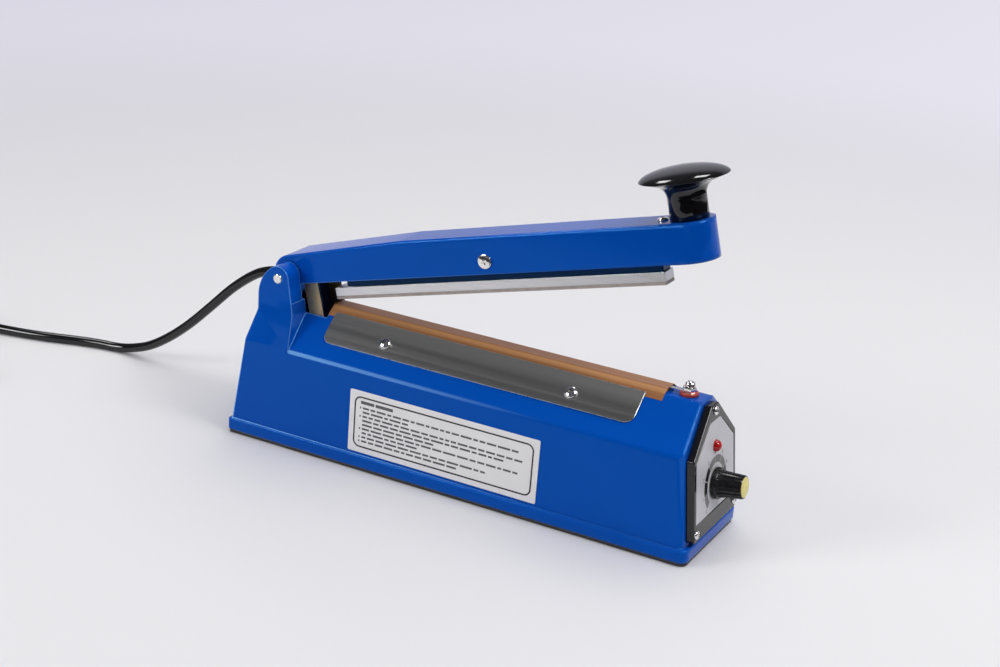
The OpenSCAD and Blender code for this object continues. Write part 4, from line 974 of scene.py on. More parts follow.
bar_maker.node_group = printed_bars_tree()
set_input(bar_maker, "Bar thickness", ink_thick * mm)
set_input(bar_maker, "Ink", print_grey)
label_bars.data = plain_mesh(label_bars)
label_bars.data.transform(label_place)
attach(label_bars, "base")

# Dial panel
# A moulded black surround holds a thin silver-grey faceplate against the dial end. The scale is
# printed on the faceplate: a ring of grey and black steps with plain numbers round it.
panel_black = speckled_finish(
    "panel_black", tone=(0.007, 0.007, 0.008), spread=0.2, scale=70.0, gloss=0.14, gloss_spread=0.04,
    grain_scale=1200.0, grain_depth=0.000012,
)
panel_black.node_tree.nodes["Principled BSDF"].inputs["Specular IOR Level"].default_value = 0.5
settle(
    eased_copy("control_bezel", ease=0.8, steps=3, sharp=40.0, smooth=33.0), panel_black,
    "black_plastic", "control_bezel",
)
panel_silver = drawn_metal(
    "panel_silver", tone=(0.5, 0.5, 0.525), spread=0.03, stretch=(500.0, 900.0, 26.0), gloss=0.44,
    gloss_spread=0.05, depth=0.000002,
)
panel_silver.node_tree.nodes["Principled BSDF"].inputs["Metallic"].default_value = 0.12
settle(eased_copy("faceplate", ease=0.0, steps=1), panel_silver, "silver_plate", "faceplate")
panel_lean = math.radians(6.35)
panel_foot = Vector((156.6, 0.0, 10.0))
panel_across = Vector((0.0, 1.0, 0.0))
panel_up = Vector((-math.sin(panel_lean), 0.0, math.cos(panel_lean)))
panel_out = Vector((math.cos(panel_lean), 0.0, math.sin(panel_lean)))
panel_place = Matrix((panel_across, panel_up, panel_out)).transposed().to_4x4()
panel_place.translation = panel_foot * mm
panel_h = 5.1
dial_b = 28.4
scale_steps = 8
scale_start = -135.0
scale_turn = 270.0 / scale_steps
scale_inner = 12.2
scale_outer = 16.7
scale_gap = 2.2
arc_steps = 8
dark_places = (1, 2, 6, 7)
number_ring = 18.8
number_size = 3.6


def scale_step(start_angle, end_angle):
    outline = []
    for k in range(arc_steps + 1):
        angle = math.radians(start_angle + (end_angle - start_angle) * k / arc_steps)
        outline.append((scale_outer * math.cos(angle), scale_outer * math.sin(angle) + dial_b))
    for k in range(arc_steps, -1, -1):
        angle = math.radians(start_angle + (end_angle - start_angle) * k / arc_steps)
        outline.append((scale_inner * math.cos(angle), scale_inner * math.sin(angle) + dial_b))
    return outline


def printed_patch(work, outline, low, high):
    under = [work.verts.new((x * mm, y * mm, low * mm)) for x, y in outline]
    over = [work.verts.new((x * mm, y * mm, high * mm)) for x, y in outline]
    work.faces.new(over)
    work.faces.new(list(reversed(under)))
    for k in range(len(outline)):
        n = (k + 1) % len(outline)
        work.faces.new((under[k], under[n], over[n], over[k]))


def printed_piece(name, outlines, ink):
    work = bmesh.new()
    for outline in outlines:
        printed_patch(work, outline, panel_h, panel_h + ink_thick)
    bmesh.ops.recalc_face_normals(work, faces=work.faces)
    mesh = bpy.data.meshes.new(name)
    work.to_mesh(mesh)
    work.free()
    mesh.transform(panel_place)
    mesh.materials.append(ink)
    piece = shown(name, mesh)
    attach(piece, "base")


dark_steps = []
grey_steps = []
for step in range(scale_steps):
    first = scale_start - step * scale_turn
    outline = scale_step(first - scale_turn + scale_gap, first)
    if step in dark_places:
        dark_steps.append(outline)
    else:
        grey_steps.append(outline)
scale_grey = speckled_finish(
    "scale_grey", tone=(0.12, 0.12, 0.125), spread=0.2, scale=700.0, gloss=0.42, gloss_spread=0.06,
    grain_scale=2500.0, grain_depth=0.000008,
)
printed_piece("scale_dark_steps", dark_steps, print_black)
printed_piece("scale_grey_steps", grey_steps, scale_grey)

number_work = bmesh.new()
for number in range(scale_steps + 1):
    angle = math.radians(scale_start - number * scale_turn)
    words = bpy.data.curves.new("dial_number", "FONT")
    words.body = str(number)
    words.size = number_size * mm
    words.align_x = "CENTER"
    words.align_y = "CENTER"
    words.extrude = ink_middle * mm
    word_piece = bpy.data.objects.new("dial_number", words)
    scene.collection.objects.link(word_piece)
    word_mesh = plain_mesh(word_piece)
    number_a = number_ring * math.cos(angle)
    number_b = number_ring * math.sin(angle) + dial_b
    number_place = Vector((number_a, number_b, panel_h + ink_middle)) * mm
    word_mesh.transform(panel_place @ Matrix.Translation(number_place))
    number_work.from_mesh(word_mesh)
    bpy.data.objects.remove(word_piece)
number_mesh = bpy.data.meshes.new("scale_numbers")
number_work.to_mesh(number_mesh)
number_work.free()
number_mesh.materials.append(print_black)
scale_numbers = shown("scale_numbers", number_mesh)
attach(scale_numbers, "base")

# Pilot lamp
# A small domed lamp with a low flange, moulded in red plastic. It is pushed through the faceplate
# and glows while the seal is timed.
lamp_red = speckled_finish(
    "lamp_red", tone=(0.4, 0.004, 0.007), spread=0.2, scale=260.0, gloss=0.12, gloss_spread=0.03,
    grain_scale=900.0, grain_depth=0.00001,
)
lamp_b = 51.4
lamp_root = -0.6
lamp_body_r = 2.5
flange_low = panel_h - 0.4
flange_high = panel_h + 0.4
flange_r = 3.6
lamp_dome_r = 3.3
lamp_dome_h = 2.85
lamp_dome_low = panel_h + 0.9
lamp_dome_steps = 9
lamp_profile = [(0.0, lamp_root), (lamp_body_r, lamp_root), (lamp_body_r, flange_low)]
lamp_profile += [(flange_r - 0.1, flange_low), (flange_r, flange_high)]
for k in range(lamp_dome_steps):
    angle = math.radians(90.0 * k / lamp_dome_steps)
    lamp_profile.append((lamp_dome_r * math.cos(angle), lamp_dome_low + lamp_dome_h * math.sin(angle)))
lamp_profile.append((0.0, lamp_dome_low + lamp_dome_h))
lamp_mesh = softened(turned_mesh("indicator_lamp_dressed", lamp_profile, steps=40), angle=50.0)
lamp_mesh.transform(panel_place @ Matrix.Translation(Vector((0.0, lamp_b, 0.0)) * mm))
settle(shown("indicator_lamp_dressed", lamp_mesh), lamp_red, "lamp_red", "indicator_lamp")

# Timer knob
# A moulded black knob with a broad skirt and coarse flutes, pushed on the timer's shaft. A pale
# yellow cap with a small dimple closes its end.


def fluted_mesh(name, rings, bore, flutes, steps):
    work = bmesh.new()
    loops = []
    for height, radius, depth in rings + bore:
        loop = []
        for k in range(steps):
            angle = 2.0 * math.pi * k / steps
            groove = depth * max(0.0, math.cos(flutes * angle)) ** 0.7
            reach = (radius - groove) * mm
            loop.append(work.verts.new((reach * math.cos(angle), reach * math.sin(angle), height * mm)))
        loops.append(loop)
    for low, high in zip(loops, loops[1:] + loops[:1]):
        for k in range(steps):
            n = (k + 1) % steps
            work.faces.new((low[k], low[n], high[n], high[k]))
    bmesh.ops.recalc_face_normals(work, faces=work.faces)
    mesh = bpy.data.meshes.new(name)
    work.to_mesh(mesh)
    work.free()
    return mesh


knob_black = speckled_finish(
    "knob_black", tone=(0.007, 0.007, 0.008), spread=0.2, scale=200.0, gloss=0.28, gloss_spread=0.06,
    grain_scale=1500.0, grain_depth=0.00002,
)
knob_black.node_tree.nodes["Principled BSDF"].inputs["Specular IOR Level"].default_value = 0.4
knob_foot = panel_h + 0.3
knob_end = panel_h + 18.0
knob_rings = [
    (knob_foot, 9.0, 0.0),
    (knob_foot + 0.3, 9.5, 0.0),
    (knob_foot + 2.7, 9.3, 0.0),
    (knob_foot + 3.2, 8.8, 0.0),
    (knob_foot + 3.25, 8.1, 0.0),
    (knob_foot + 4.4, 7.95, 0.75),
    (knob_end - 0.5, 6.95, 0.65),
    (knob_end, 6.55, 0.35),
    (knob_end, 6.1, 0.0),
    (knob_end - 0.9, 6.1, 0.0),
]
knob_bore = [
    (knob_end - 0.9, 3.05, 0.0),
    (knob_foot + 4.8, 3.05, 0.0),
    (knob_foot + 4.8, 6.4, 0.0),
    (knob_foot, 6.4, 0.0),
]
dial_place = panel_place @ Matrix.Translation(Vector((0.0, dial_b, 0.0)) * mm)
knob_mesh = softened(
    fluted_mesh("timer_knob_dressed", knob_rings, knob_bore, flutes=18, steps=216), angle=40.0
)
knob_mesh.transform(dial_place)
settle(shown("timer_knob_dressed", knob_mesh), knob_black, "black_plastic", "timer_knob")
cap_yellow = speckled_finish(
    "cap_yellow", tone=(0.7, 0.6, 0.19), spread=0.05, scale=240.0, gloss=0.36, gloss_spread=0.05,
    grain_scale=1500.0, grain_depth=0.000015,
)
knob_cap_r = 6.05
knob_cap_low = knob_end - 0.85
knob_cap_top = knob_end + 0.5
cap_profile = [(0.0, knob_cap_low), (knob_cap_r, knob_cap_low), (knob_cap_r, knob_end + 0.05)]
cap_profile += [(5.75, knob_end + 0.4), (5.4, knob_cap_top)]
cap_profile += [(0.75, knob_cap_top), (0.5, knob_end + 0.1), (0.0, knob_end)]
cap_mesh = softened(turned_mesh("knob_cap_dressed", cap_profile, steps=48), angle=35.0)
cap_mesh.transform(dial_place)
settle(shown("knob_cap_dressed", cap_mesh), cap_yellow, "yellow_plastic", "knob_cap")
pot_grey = drawn_metal(
    "pot_grey", tone=(0.42, 0.43, 0.44), spread=0.08, stretch=(400.0, 400.0, 400.0), gloss=0.34,
    gloss_spread=0.06, depth=0.000006,
)
settle(eased_copy("timer_pot", ease=0.2, steps=2), pot_grey, "core_steel", "timer_pot")
settle(eased_copy("pot_nut", ease=0.25, steps=2), bright_plate, "plated_steel", "pot_nut")
settle(eased_copy("pot_shaft", ease=0.25, steps=2), bright_plate, "plated_steel", "pot_shaft")

# Circuit board
# A green board behind the panel, which times the current to the heating wire. A relay and two
# capacitors stand off it.
board_green = speckled_finish(
    "board_green", tone=(0.01, 0.09, 0.03), spread=0.25, scale=300.0, gloss=0.35, gloss_spread=0.08,
    grain_scale=1800.0, grain_depth=0.00002,
)
settle(eased_copy("circuit_board", ease=0.15, steps=2), board_green, "board_green", "circuit_board")
board_black = speckled_finish(
    "board_black", tone=(0.02, 0.02, 0.022), spread=0.2, scale=200.0, gloss=0.4, gloss_spread=0.08,
    grain_scale=1200.0, grain_depth=0.00003,
)
settle(eased_copy("board_parts", ease=0.4, steps=2), board_black, "black_plastic", "board_parts")

# Transformer
# A stack of steel sheets with a taped copper winding, held to the base plate by a strap and two
# screws with nuts.
core_steel = drawn_metal(
    "core_steel", tone=(0.2, 0.2, 0.21), spread=0.3, stretch=(20.0, 20.0, 2600.0), gloss=0.45,
    gloss_spread=0.1, depth=0.00005,
)
settle(eased_copy("transformer_core", ease=0.4, steps=2), core_steel, "core_steel", "transformer_core")
winding_tape = speckled_finish(
    "winding_tape", tone=(0.55, 0.33, 0.06), spread=0.15, scale=160.0, gloss=0.4, gloss_spread=0.08,
    grain_scale=900.0, grain_depth=0.00006,
)
settle(eased_copy("transformer_coil", ease=0.8, steps=3), winding_tape, "winding", "transformer_coil")
settle(
    eased_copy("transformer_strap", ease=0.3, steps=2), bright_plate, "plated_steel",
    "transformer_strap",
)
settle(
    eased_copy("transformer_screws", ease=0.2, steps=2), bright_plate, "plated_steel",
    "transformer_screws",
)

# Sealing ledge
# A strip of brown board on the deck carries a tan tape and the flat heating wire. A woven non-stick
# cloth covers them and runs down both slopes under the clamp plates.
ledge_board = speckled_finish(
    "ledge_board", tone=(0.16, 0.075, 0.03), spread=0.2, scale=180.0, gloss=0.55, gloss_spread=0.08,
    grain_scale=900.0, grain_depth=0.00005,
)
settle(eased_copy("sealing_ledge", ease=0.2, steps=2), ledge_board, "ledge_brown", "sealing_ledge")
tape_tan = speckled_finish(
    "tape_tan", tone=(0.45, 0.27, 0.12), spread=0.12, scale=240.0, gloss=0.5, gloss_spread=0.07,
    grain_scale=900.0, grain_depth=0.00003,
)
settle(eased_copy("insulating_tape", ease=0.05, steps=1), tape_tan, "tape_tan", "insulating_tape")
element_strip = drawn_metal(
    "element_strip", tone=(0.62, 0.6, 0.57), spread=0.12, stretch=(40.0, 1800.0, 1800.0), gloss=0.28,
    gloss_spread=0.07, depth=0.000006,
)
settle(
    eased_copy("heating_element", ease=0.05, steps=1), element_strip, "plated_steel", "heating_element"
)


def nonstick_cloth():
    material = bpy.data.materials.new("nonstick_cloth")
    material.use_nodes = True
    tree = material.node_tree
    shader = tree.nodes["Principled BSDF"]
    shader.inputs["Specular IOR Level"].default_value = 0.3
    place = tree.nodes.new("ShaderNodeTexCoord")
    streak_pull = tree.nodes.new("ShaderNodeMapping")
    streak_pull.inputs["Scale"].default_value = (9.0, 620.0, 620.0)
    tree.links.new(place.outputs["Object"], streak_pull.inputs["Vector"])
    streak = tree.nodes.new("ShaderNodeTexNoise")
    streak.inputs["Scale"].default_value = 1.0
    streak.inputs["Detail"].default_value = 3.0
    tree.links.new(streak_pull.outputs["Vector"], streak.inputs["Vector"])
    split = tree.nodes.new("ShaderNodeSeparateXYZ")
    tree.links.new(place.outputs["Object"], split.inputs["Vector"])
    outward = tree.nodes.new("ShaderNodeMath")
    outward.operation = "ABSOLUTE"
    tree.links.new(split.outputs["Y"], outward.inputs[0])
    bands = tree.nodes.new("ShaderNodeMapRange")
    bands.inputs["From Max"].default_value = 0.012
    tree.links.new(outward.outputs[0], bands.inputs["Value"])
    # A lighter tan band runs along each side of the top, a painted highlight where the cloth bends over
    # the ledge edge.
    shade = tree.nodes.new("ShaderNodeValToRGB")
    shade.color_ramp.elements[0].position = 0.36
    shade.color_ramp.elements[0].color = (0.26, 0.115, 0.05, 1.0)
    shade.color_ramp.elements[1].position = 0.74
    shade.color_ramp.elements[1].color = (0.25, 0.108, 0.042, 1.0)
    fold_highlight = shade.color_ramp.elements.new(0.5)
    fold_highlight.color = (0.4, 0.2, 0.082, 1.0)
    fold_highlight_end = shade.color_ramp.elements.new(0.62)
    fold_highlight_end.color = (0.34, 0.165, 0.066, 1.0)
    tree.links.new(bands.outputs["Result"], shade.inputs["Fac"])
    wear_and_highlight = tree.nodes.new("ShaderNodeMapRange")
    wear_and_highlight.inputs["From Min"].default_value = 0.3
    wear_and_highlight.inputs["From Max"].default_value = 0.7
    wear_and_highlight.inputs["To Min"].default_value = 0.96
    wear_and_highlight.inputs["To Max"].default_value = 1.32
    tree.links.new(streak.outputs["Fac"], wear_and_highlight.inputs["Value"])
    paler = tree.nodes.new("ShaderNodeMapRange")
    paler.inputs["From Min"].default_value = -0.103
    paler.inputs["From Max"].default_value = -0.05
    paler.inputs["To Min"].default_value = 1.4
    paler.inputs["To Max"].default_value = 1.0
    tree.links.new(split.outputs["X"], paler.inputs["Value"])
    toned = tree.nodes.new("ShaderNodeMath")
    toned.operation = "MULTIPLY"
    tree.links.new(wear_and_highlight.outputs["Result"], toned.inputs[0])
    tree.links.new(paler.outputs["Result"], toned.inputs[1])
    cover_tone = tree.nodes.new("ShaderNodeVectorMath")
    cover_tone.operation = "SCALE"
    tree.links.new(shade.outputs["Color"], cover_tone.inputs[0])
    tree.links.new(toned.outputs[0], cover_tone.inputs["Scale"])
    tree.links.new(cover_tone.outputs[0], shader.inputs["Base Color"])
    warp = tree.nodes.new("ShaderNodeTexWave")
    warp.bands_direction = "X"
    warp.inputs["Scale"].default_value = 330.0
    weft = tree.nodes.new("ShaderNodeTexWave")
    weft.bands_direction = "Y"
    weft.inputs["Scale"].default_value = 330.0
    tree.links.new(place.outputs["Object"], warp.inputs["Vector"])
    tree.links.new(place.outputs["Object"], weft.inputs["Vector"])
    weave = tree.nodes.new("ShaderNodeMath")
    weave.operation = "MULTIPLY"
    tree.links.new(warp.outputs["Fac"], weave.inputs[0])
    tree.links.new(weft.outputs["Fac"], weave.inputs[1])
    bump = tree.nodes.new("ShaderNodeBump")
    bump.inputs["Strength"].default_value = 0.7
    bump.inputs["Distance"].default_value = 0.00005
    tree.links.new(weave.outputs[0], bump.inputs["Height"])
    tree.links.new(bump.outputs["Normal"], shader.inputs["Normal"])
    gloss = tree.nodes.new("ShaderNodeMapRange")
    gloss.inputs["To Min"].default_value = 0.24
    gloss.inputs["To Max"].default_value = 0.36
    tree.links.new(streak.outputs["Fac"], gloss.inputs["Value"])
    tree.links.new(gloss.outputs["Result"], shader.inputs["Roughness"])
    return material


cover_cloth = nonstick_cloth()
settle(
    eased_copy("ptfe_cover", ease=0.0, steps=1, sharp=50.0, smooth=20.0), cover_cloth, "ptfe_brown",
    "ptfe_cover",
)

# Clamp plates
# Two bare steel strips with rounded lower corners, drawn lengthways, hold the cloth on the slopes.
# Their cut edges are brighter than their faces.
slope_turn = math.radians(41.32)


def plate_face_steel():
    material = drawn_metal(
        "plate_steel", tone=(0.22, 0.22, 0.214), spread=0.05, stretch=(3.0, 420.0, 420.0), gloss=0.44,
        gloss_spread=0.04, depth=0.000004,
    )
    tree = material.node_tree
    place = tree.nodes.new("ShaderNodeTexCoord")
    split = tree.nodes.new("ShaderNodeSeparateXYZ")
    tree.links.new(place.outputs["Object"], split.inputs["Vector"])
    # The faces are painted lighter towards their top edge, a painted sheen.
    height = tree.nodes.new("ShaderNodeMapRange")
    height.inputs["From Min"].default_value = 0.0725
    height.inputs["From Max"].default_value = 0.0878
    tree.links.new(split.outputs["Z"], height.inputs["Value"])
    painted_sheen = tree.nodes.new("ShaderNodeValToRGB")
    painted_sheen.color_ramp.elements[0].position = 0.5
    painted_sheen.color_ramp.elements[0].color = (0.195, 0.195, 0.19, 1.0)
    painted_sheen.color_ramp.elements[1].position = 0.8
    painted_sheen.color_ramp.elements[1].color = (0.29, 0.29, 0.283, 1.0)
    tree.links.new(height.outputs["Result"], painted_sheen.inputs["Fac"])
    for node in tree.nodes:
        if node.type == "GROUP":
            tree.links.new(painted_sheen.outputs["Color"], node.inputs["Tone"])
    return material


plate_steel = plate_face_steel()
cut_steel = drawn_metal(
    "cut_steel", tone=(0.62, 0.62, 0.6), spread=0.08, stretch=(200.0, 900.0, 900.0), gloss=0.3,
    gloss_spread=0.05, depth=0.000006,
)


def clamp_plate(node_name, side):
    piece = settle(eased_copy(node_name, ease=0.2, steps=2), plate_steel, "dark_steel", node_name)
    piece.data.materials.append(cut_steel)
    slope_out = Vector((0.0, side * math.sin(slope_turn), math.cos(slope_turn)))
    for polygon in piece.data.polygons:
        if abs(polygon.normal.dot(slope_out)) < 0.93:
            polygon.material_index = 1


clamp_plate("front_clamp_plate", -1.0)
clamp_plate("rear_clamp_plate", 1.0)

# Pan-head screws
# Plated cross-recess screws with domed heads: four in the clamp plates, three in the panel
# surround, one on top of the arm and one through its side.


def pan_screw(name, head_d, head_h, shank_d, shank_len, rim_share=0.22):
    rim = head_h * rim_share
    dome_steps = 8
    cross_len = head_d * 0.56 * mm
    cross_w = head_d * 0.125 * mm
    cross_deep = head_h * 1.7 * mm
    cross_middle = head_h * 0.98 * mm
    cross_taper = 0.45
    cross_turn = 20.0
    recess_reach = head_d * 0.3 * mm
    recess_floor = head_h * 0.55 * mm
    wall_steepness = 0.55
    profile = [(0.0, -shank_len), (shank_d / 2, -shank_len), (shank_d / 2, 0.0), (head_d / 2 - 0.1, 0.0)]
    for k in range(dome_steps):
        angle = math.radians(90.0 * k / dome_steps)
        profile.append((head_d / 2 * math.cos(angle), rim + (head_h - rim) * math.sin(angle)))
    profile.append((0.0, head_h))
    head = shown(name, turned_mesh(name, profile, steps=40))
    cutter_work = bmesh.new()
    for turn in (0.0, 90.0):
        box = bmesh.ops.create_cube(cutter_work, size=1.0)["verts"]
        bmesh.ops.scale(cutter_work, vec=(cross_len, cross_w, cross_deep), verts=box)
        bmesh.ops.translate(cutter_work, vec=(0.0, 0.0, cross_middle), verts=box)
        for vertex in box:
            if vertex.co.z < cross_middle:
                vertex.co.x *= cross_taper
        box_turn = Matrix.Rotation(math.radians(turn + cross_turn), 3, "Z")
        bmesh.ops.rotate(cutter_work, cent=(0.0, 0.0, 0.0), matrix=box_turn, verts=box)
    cutter_mesh = bpy.data.meshes.new(name + "_cross")
    cutter_work.to_mesh(cutter_mesh)
    cutter_work.free()
    cutter = shown(name + "_cross", cutter_mesh)
    recess = head.modifiers.new("recess", "BOOLEAN")
    recess.solver = "EXACT"
    recess.use_self = True
    recess.object = cutter
    head.data = softened(plain_mesh(head), angle=32.0)
    bpy.data.objects.remove(cutter)
    sunk = head.data.attributes.new("recess", "BOOLEAN", "FACE")
    for polygon in head.data.polygons:
        spot = polygon.center
        near = math.hypot(spot.x, spot.y) < recess_reach and spot.z > 0.0
        steep = abs(polygon.normal.z) < wall_steepness
        sunk.data[polygon.index].value = near and (steep or spot.z < recess_floor)
    return head


def screws_at_places_tree():
    tree = bpy.data.node_groups.new("screws_at_places", "GeometryNodeTree")
    face = tree.interface
    face.new_socket("Places", in_out="INPUT", socket_type="NodeSocketGeometry")
    face.new_socket("Screw", in_out="INPUT", socket_type="NodeSocketObject")
    face.new_socket("Size", in_out="INPUT", socket_type="NodeSocketFloat")
    face.new_socket("Plating", in_out="INPUT", socket_type="NodeSocketMaterial")
    face.new_socket("Screws", in_out="OUTPUT", socket_type="NodeSocketGeometry")
    start = tree.nodes.new("NodeGroupInput")
    end = tree.nodes.new("NodeGroupOutput")
    screw = tree.nodes.new("GeometryNodeObjectInfo")
    turn = tree.nodes.new("GeometryNodeInputNamedAttribute")
    turn.data_type = "FLOAT_VECTOR"
    turn.inputs["Name"].default_value = "turn"
    to_turn = tree.nodes.new("FunctionNodeEulerToRotation")
    put = tree.nodes.new("GeometryNodeInstanceOnPoints")
    real = tree.nodes.new("GeometryNodeRealizeInstances")
    plating = tree.nodes.new("GeometryNodeSetMaterial")
    tree.links.new(start.outputs["Screw"], screw.inputs["Object"])
    tree.links.new(start.outputs["Places"], put.inputs["Points"])
    tree.links.new(screw.outputs["Geometry"], put.inputs["Instance"])
    tree.links.new(turn.outputs["Attribute"], to_turn.inputs["Euler"])
    tree.links.new(to_turn.outputs["Rotation"], put.inputs["Rotation"])
    tree.links.new(start.outputs["Size"], put.inputs["Scale"])
    tree.links.new(put.outputs["Instances"], real.inputs["Geometry"])
    tree.links.new(real.outputs["Geometry"], plating.inputs["Geometry"])
    tree.links.new(start.outputs["Plating"], plating.inputs["Material"])
    tree.links.new(plating.outputs["Geometry"], end.inputs["Screws"])
    return tree


screws_tree = screws_at_places_tree()
# Recess faces take a dark steel: painted shade inside the cross recess.
recess_painted_shade = drawn_metal(
    "recess_painted_shade", tone=(0.09, 0.08, 0.07), spread=0.2, stretch=(900.0, 900.0, 900.0), gloss=0.5,
    gloss_spread=0.08, depth=0.000006,
)
screw_plate = drawn_metal(
    "screw_plate", tone=(0.8, 0.79, 0.77), spread=0.05, stretch=(900.0, 900.0, 900.0), gloss=0.11,
    gloss_spread=0.03, depth=0.000003,
)


def set_screws(node_name, screw, places):
    points = bpy.data.meshes.new(node_name + "_places")
    points.from_pydata([place.translation for place in places], [], [])
    turns = points.attributes.new("turn", "FLOAT_VECTOR", "POINT")
    for k, place in enumerate(places):
        turns.data[k].vector = place.to_euler()
    piece = shown(node_name + "_dressed", points)
    maker = piece.modifiers.new("screws_at_places", "NODES")
    maker.node_group = screws_tree
    set_input(maker, "Screw", screw)
    set_input(maker, "Size", 1.0)
    set_input(maker, "Plating", screw_plate)
    piece.data = plain_mesh(piece)
    bpy.data.objects.remove(screw)
    settle(piece, screw_plate, "plated_steel", node_name)
    piece.data.materials.append(recess_painted_shade)
    sunk = piece.data.attributes["recess"]
    for polygon in piece.data.polygons:
        polygon.material_index = 1 if sunk.data[polygon.index].value else 0


slope_root_y = 35.5
slope_root_z = 64.2
clamp_screw_along = 21.7
clamp_screw_out = 1.05
clamp_screw_x = (-55.9, 71.5)


def slope_spot(side, x, along, out):
    slope_up = Vector((0.0, -side * math.cos(slope_turn), math.sin(slope_turn)))
    slope_out = Vector((0.0, side * math.sin(slope_turn), math.cos(slope_turn)))
    across = slope_up.cross(slope_out)
    place = Matrix((across, slope_up, slope_out)).transposed().to_4x4()
    root = Vector((x, side * slope_root_y, slope_root_z))
    place.translation = (root + slope_up * along + slope_out * out) * mm
    return place


clamp_spots = []
for side in (-1.0, 1.0):
    for x in clamp_screw_x:
        clamp_spots.append(slope_spot(side, x, clamp_screw_along, clamp_screw_out))
clamp_pan = pan_screw("clamp_pan", head_d=8.2, head_h=2.7, shank_d=3.4, shank_len=6.4)
set_screws("clamp_screws", clamp_pan, clamp_spots)
panel_spots = []
for spot_a, spot_b in ((0.0, 72.6), (-28.6, 7.0), (28.6, 7.0)):
    panel_spots.append(panel_place @ Matrix.Translation(Vector((spot_a, spot_b, panel_h)) * mm))
panel_pan = pan_screw("panel_pan", head_d=5.4, head_h=1.7, shank_d=3.0, shank_len=9.5)
set_screws("panel_screws", panel_pan, panel_spots)
open_angle = math.radians(14.75)
hinge_spot = Vector((-131.2, 0.0, 107.2))
arm_top_h = 16.1
arm_half = 14.5
arm_along = Vector((math.cos(open_angle), 0.0, math.sin(open_angle)))
arm_across = Vector((0.0, 1.0, 0.0))
arm_over = Vector((-math.sin(open_angle), 0.0, math.cos(open_angle)))
arm_place = Matrix((arm_along, arm_across, arm_over)).transposed().to_4x4()
arm_place.translation = hinge_spot * mm
arm_top_spot = arm_place @ Matrix.Translation(Vector((253.3, 0.0, arm_top_h)) * mm)
arm_pan = pan_screw("arm_pan", head_d=6.6, head_h=1.8, shank_d=3.0, shank_len=4.8)
set_screws("arm_screw", arm_pan, [arm_top_spot])
bar_turn = Matrix.Rotation(math.radians(90.0), 4, "X")
bar_spot = arm_place @ Matrix.Translation(Vector((142.6, -arm_half, 1.0)) * mm) @ bar_turn
bar_pan = pan_screw("bar_pan", head_d=9.0, head_h=1.5, shank_d=5.0, shank_len=33.4, rim_share=0.55)
set_screws("bar_screw", bar_pan, [bar_spot])

# Dial-end terminal
# A red fibre bush insulates a plated stud from the deck. The element's eye is held by a hexagon nut
# with a small round nut above it, and another nut holds the stud from inside.
fibre_red = speckled_finish(
    "fibre_red", tone=(0.36, 0.035, 0.02), spread=0.18, scale=260.0, gloss=0.5, gloss_spread=0.08,
    grain_scale=1500.0, grain_depth=0.00003,
)
settle(eased_copy("terminal_bush", ease=0.4, steps=3), fibre_red, "red_fibre", "terminal_bush")
settle(eased_copy("terminal_stud", ease=0.3, steps=2), screw_plate, "plated_steel", "terminal_stud")


def joined_mesh(name, meshes):
    work = bmesh.new()
    for mesh in meshes:
        work.from_mesh(mesh)
    whole = bpy.data.meshes.new(name)
    work.to_mesh(whole)
    work.free()
    return whole


terminal_x = 136.7
stud_r = 2.1
nut_seat = 90.4
nut_top = nut_seat + 2.9
nut_r = 4.3
hexagon_nut = [(stud_r, nut_seat), (nut_r - 0.2, nut_seat), (nut_r, nut_seat + 0.3)]
hexagon_nut += [(nut_r, nut_top - 0.5), (nut_r - 0.6, nut_top), (stud_r, nut_top), (stud_r, nut_seat)]
round_seat = nut_top + 0.2
round_nut = [(stud_r, round_seat), (2.7, round_seat), (3.0, round_seat + 0.3), (3.0, round_seat + 1.6)]
round_nut += [(2.7, round_seat + 2.3), (1.9, round_seat + 2.9)]
round_nut += [(1.0, round_seat + 3.2), (0.0, round_seat + 3.3)]
inner_low = 81.8
inner_top = 85.0
inner_r = 4.04
inner_nut = [(stud_r, inner_low), (3.7, inner_low), (inner_r, inner_low + 0.3)]
inner_nut += [(inner_r, inner_top - 0.3), (3.7, inner_top), (stud_r, inner_top), (stud_r, inner_low)]
terminal_mesh = softened(
    joined_mesh(
        "terminal_nuts_dressed",
        [
            turned_mesh("hexagon_nut", hexagon_nut, steps=6),
            turned_mesh("round_nut", round_nut, steps=40),
            turned_mesh("inner_nut", inner_nut, steps=6),
        ],
    ),
    angle=32.0,
)
terminal_mesh.transform(Matrix.Translation(Vector((terminal_x, 0.0, 0.0)) * mm))
settle(shown("terminal_nuts_dressed", terminal_mesh), screw_plate, "plated_steel", "terminal_nuts")
block_brown = speckled_finish(
    "block_brown", tone=(0.13, 0.06, 0.03), spread=0.2, scale=200.0, gloss=0.45, gloss_spread=0.07,
    grain_scale=900.0, grain_depth=0.00004,
)
settle(
    eased_copy("end_terminal_block", ease=0.4, steps=2), block_brown, "ledge_brown",
    "end_terminal_block",
)
settle(
    eased_copy("end_terminal_screw", ease=0.15, steps=2), screw_plate, "plated_steel",
    "end_terminal_screw",
)

# Hinge pin
# A plain plated steel pin, cut from drawn rod, that goes through both ears and the arm. Its ends are
# peened over slightly.
settle(eased_copy("pivot_pin", ease=0.45, steps=3), screw_plate, "plated_steel", "pivot_pin")

# Arm
# A pressed steel channel, open below, with a round nose under the handle. It is sprayed in the same
# blue as the housing.
# The arm's edges carry the same painted highlight as the housing's.
arm_paint = blue_spray(
    "arm_blue", tone=sprayed_blue, highlight_tone=painted_highlight_blue, foot_reach=1.6, upper_reach=1.6
)
settle(
    eased_copy("arm_shell", ease=0.0, steps=3, sharp=50.0, smooth=30.0), arm_paint, "blue_paint",
    "arm_shell",
)

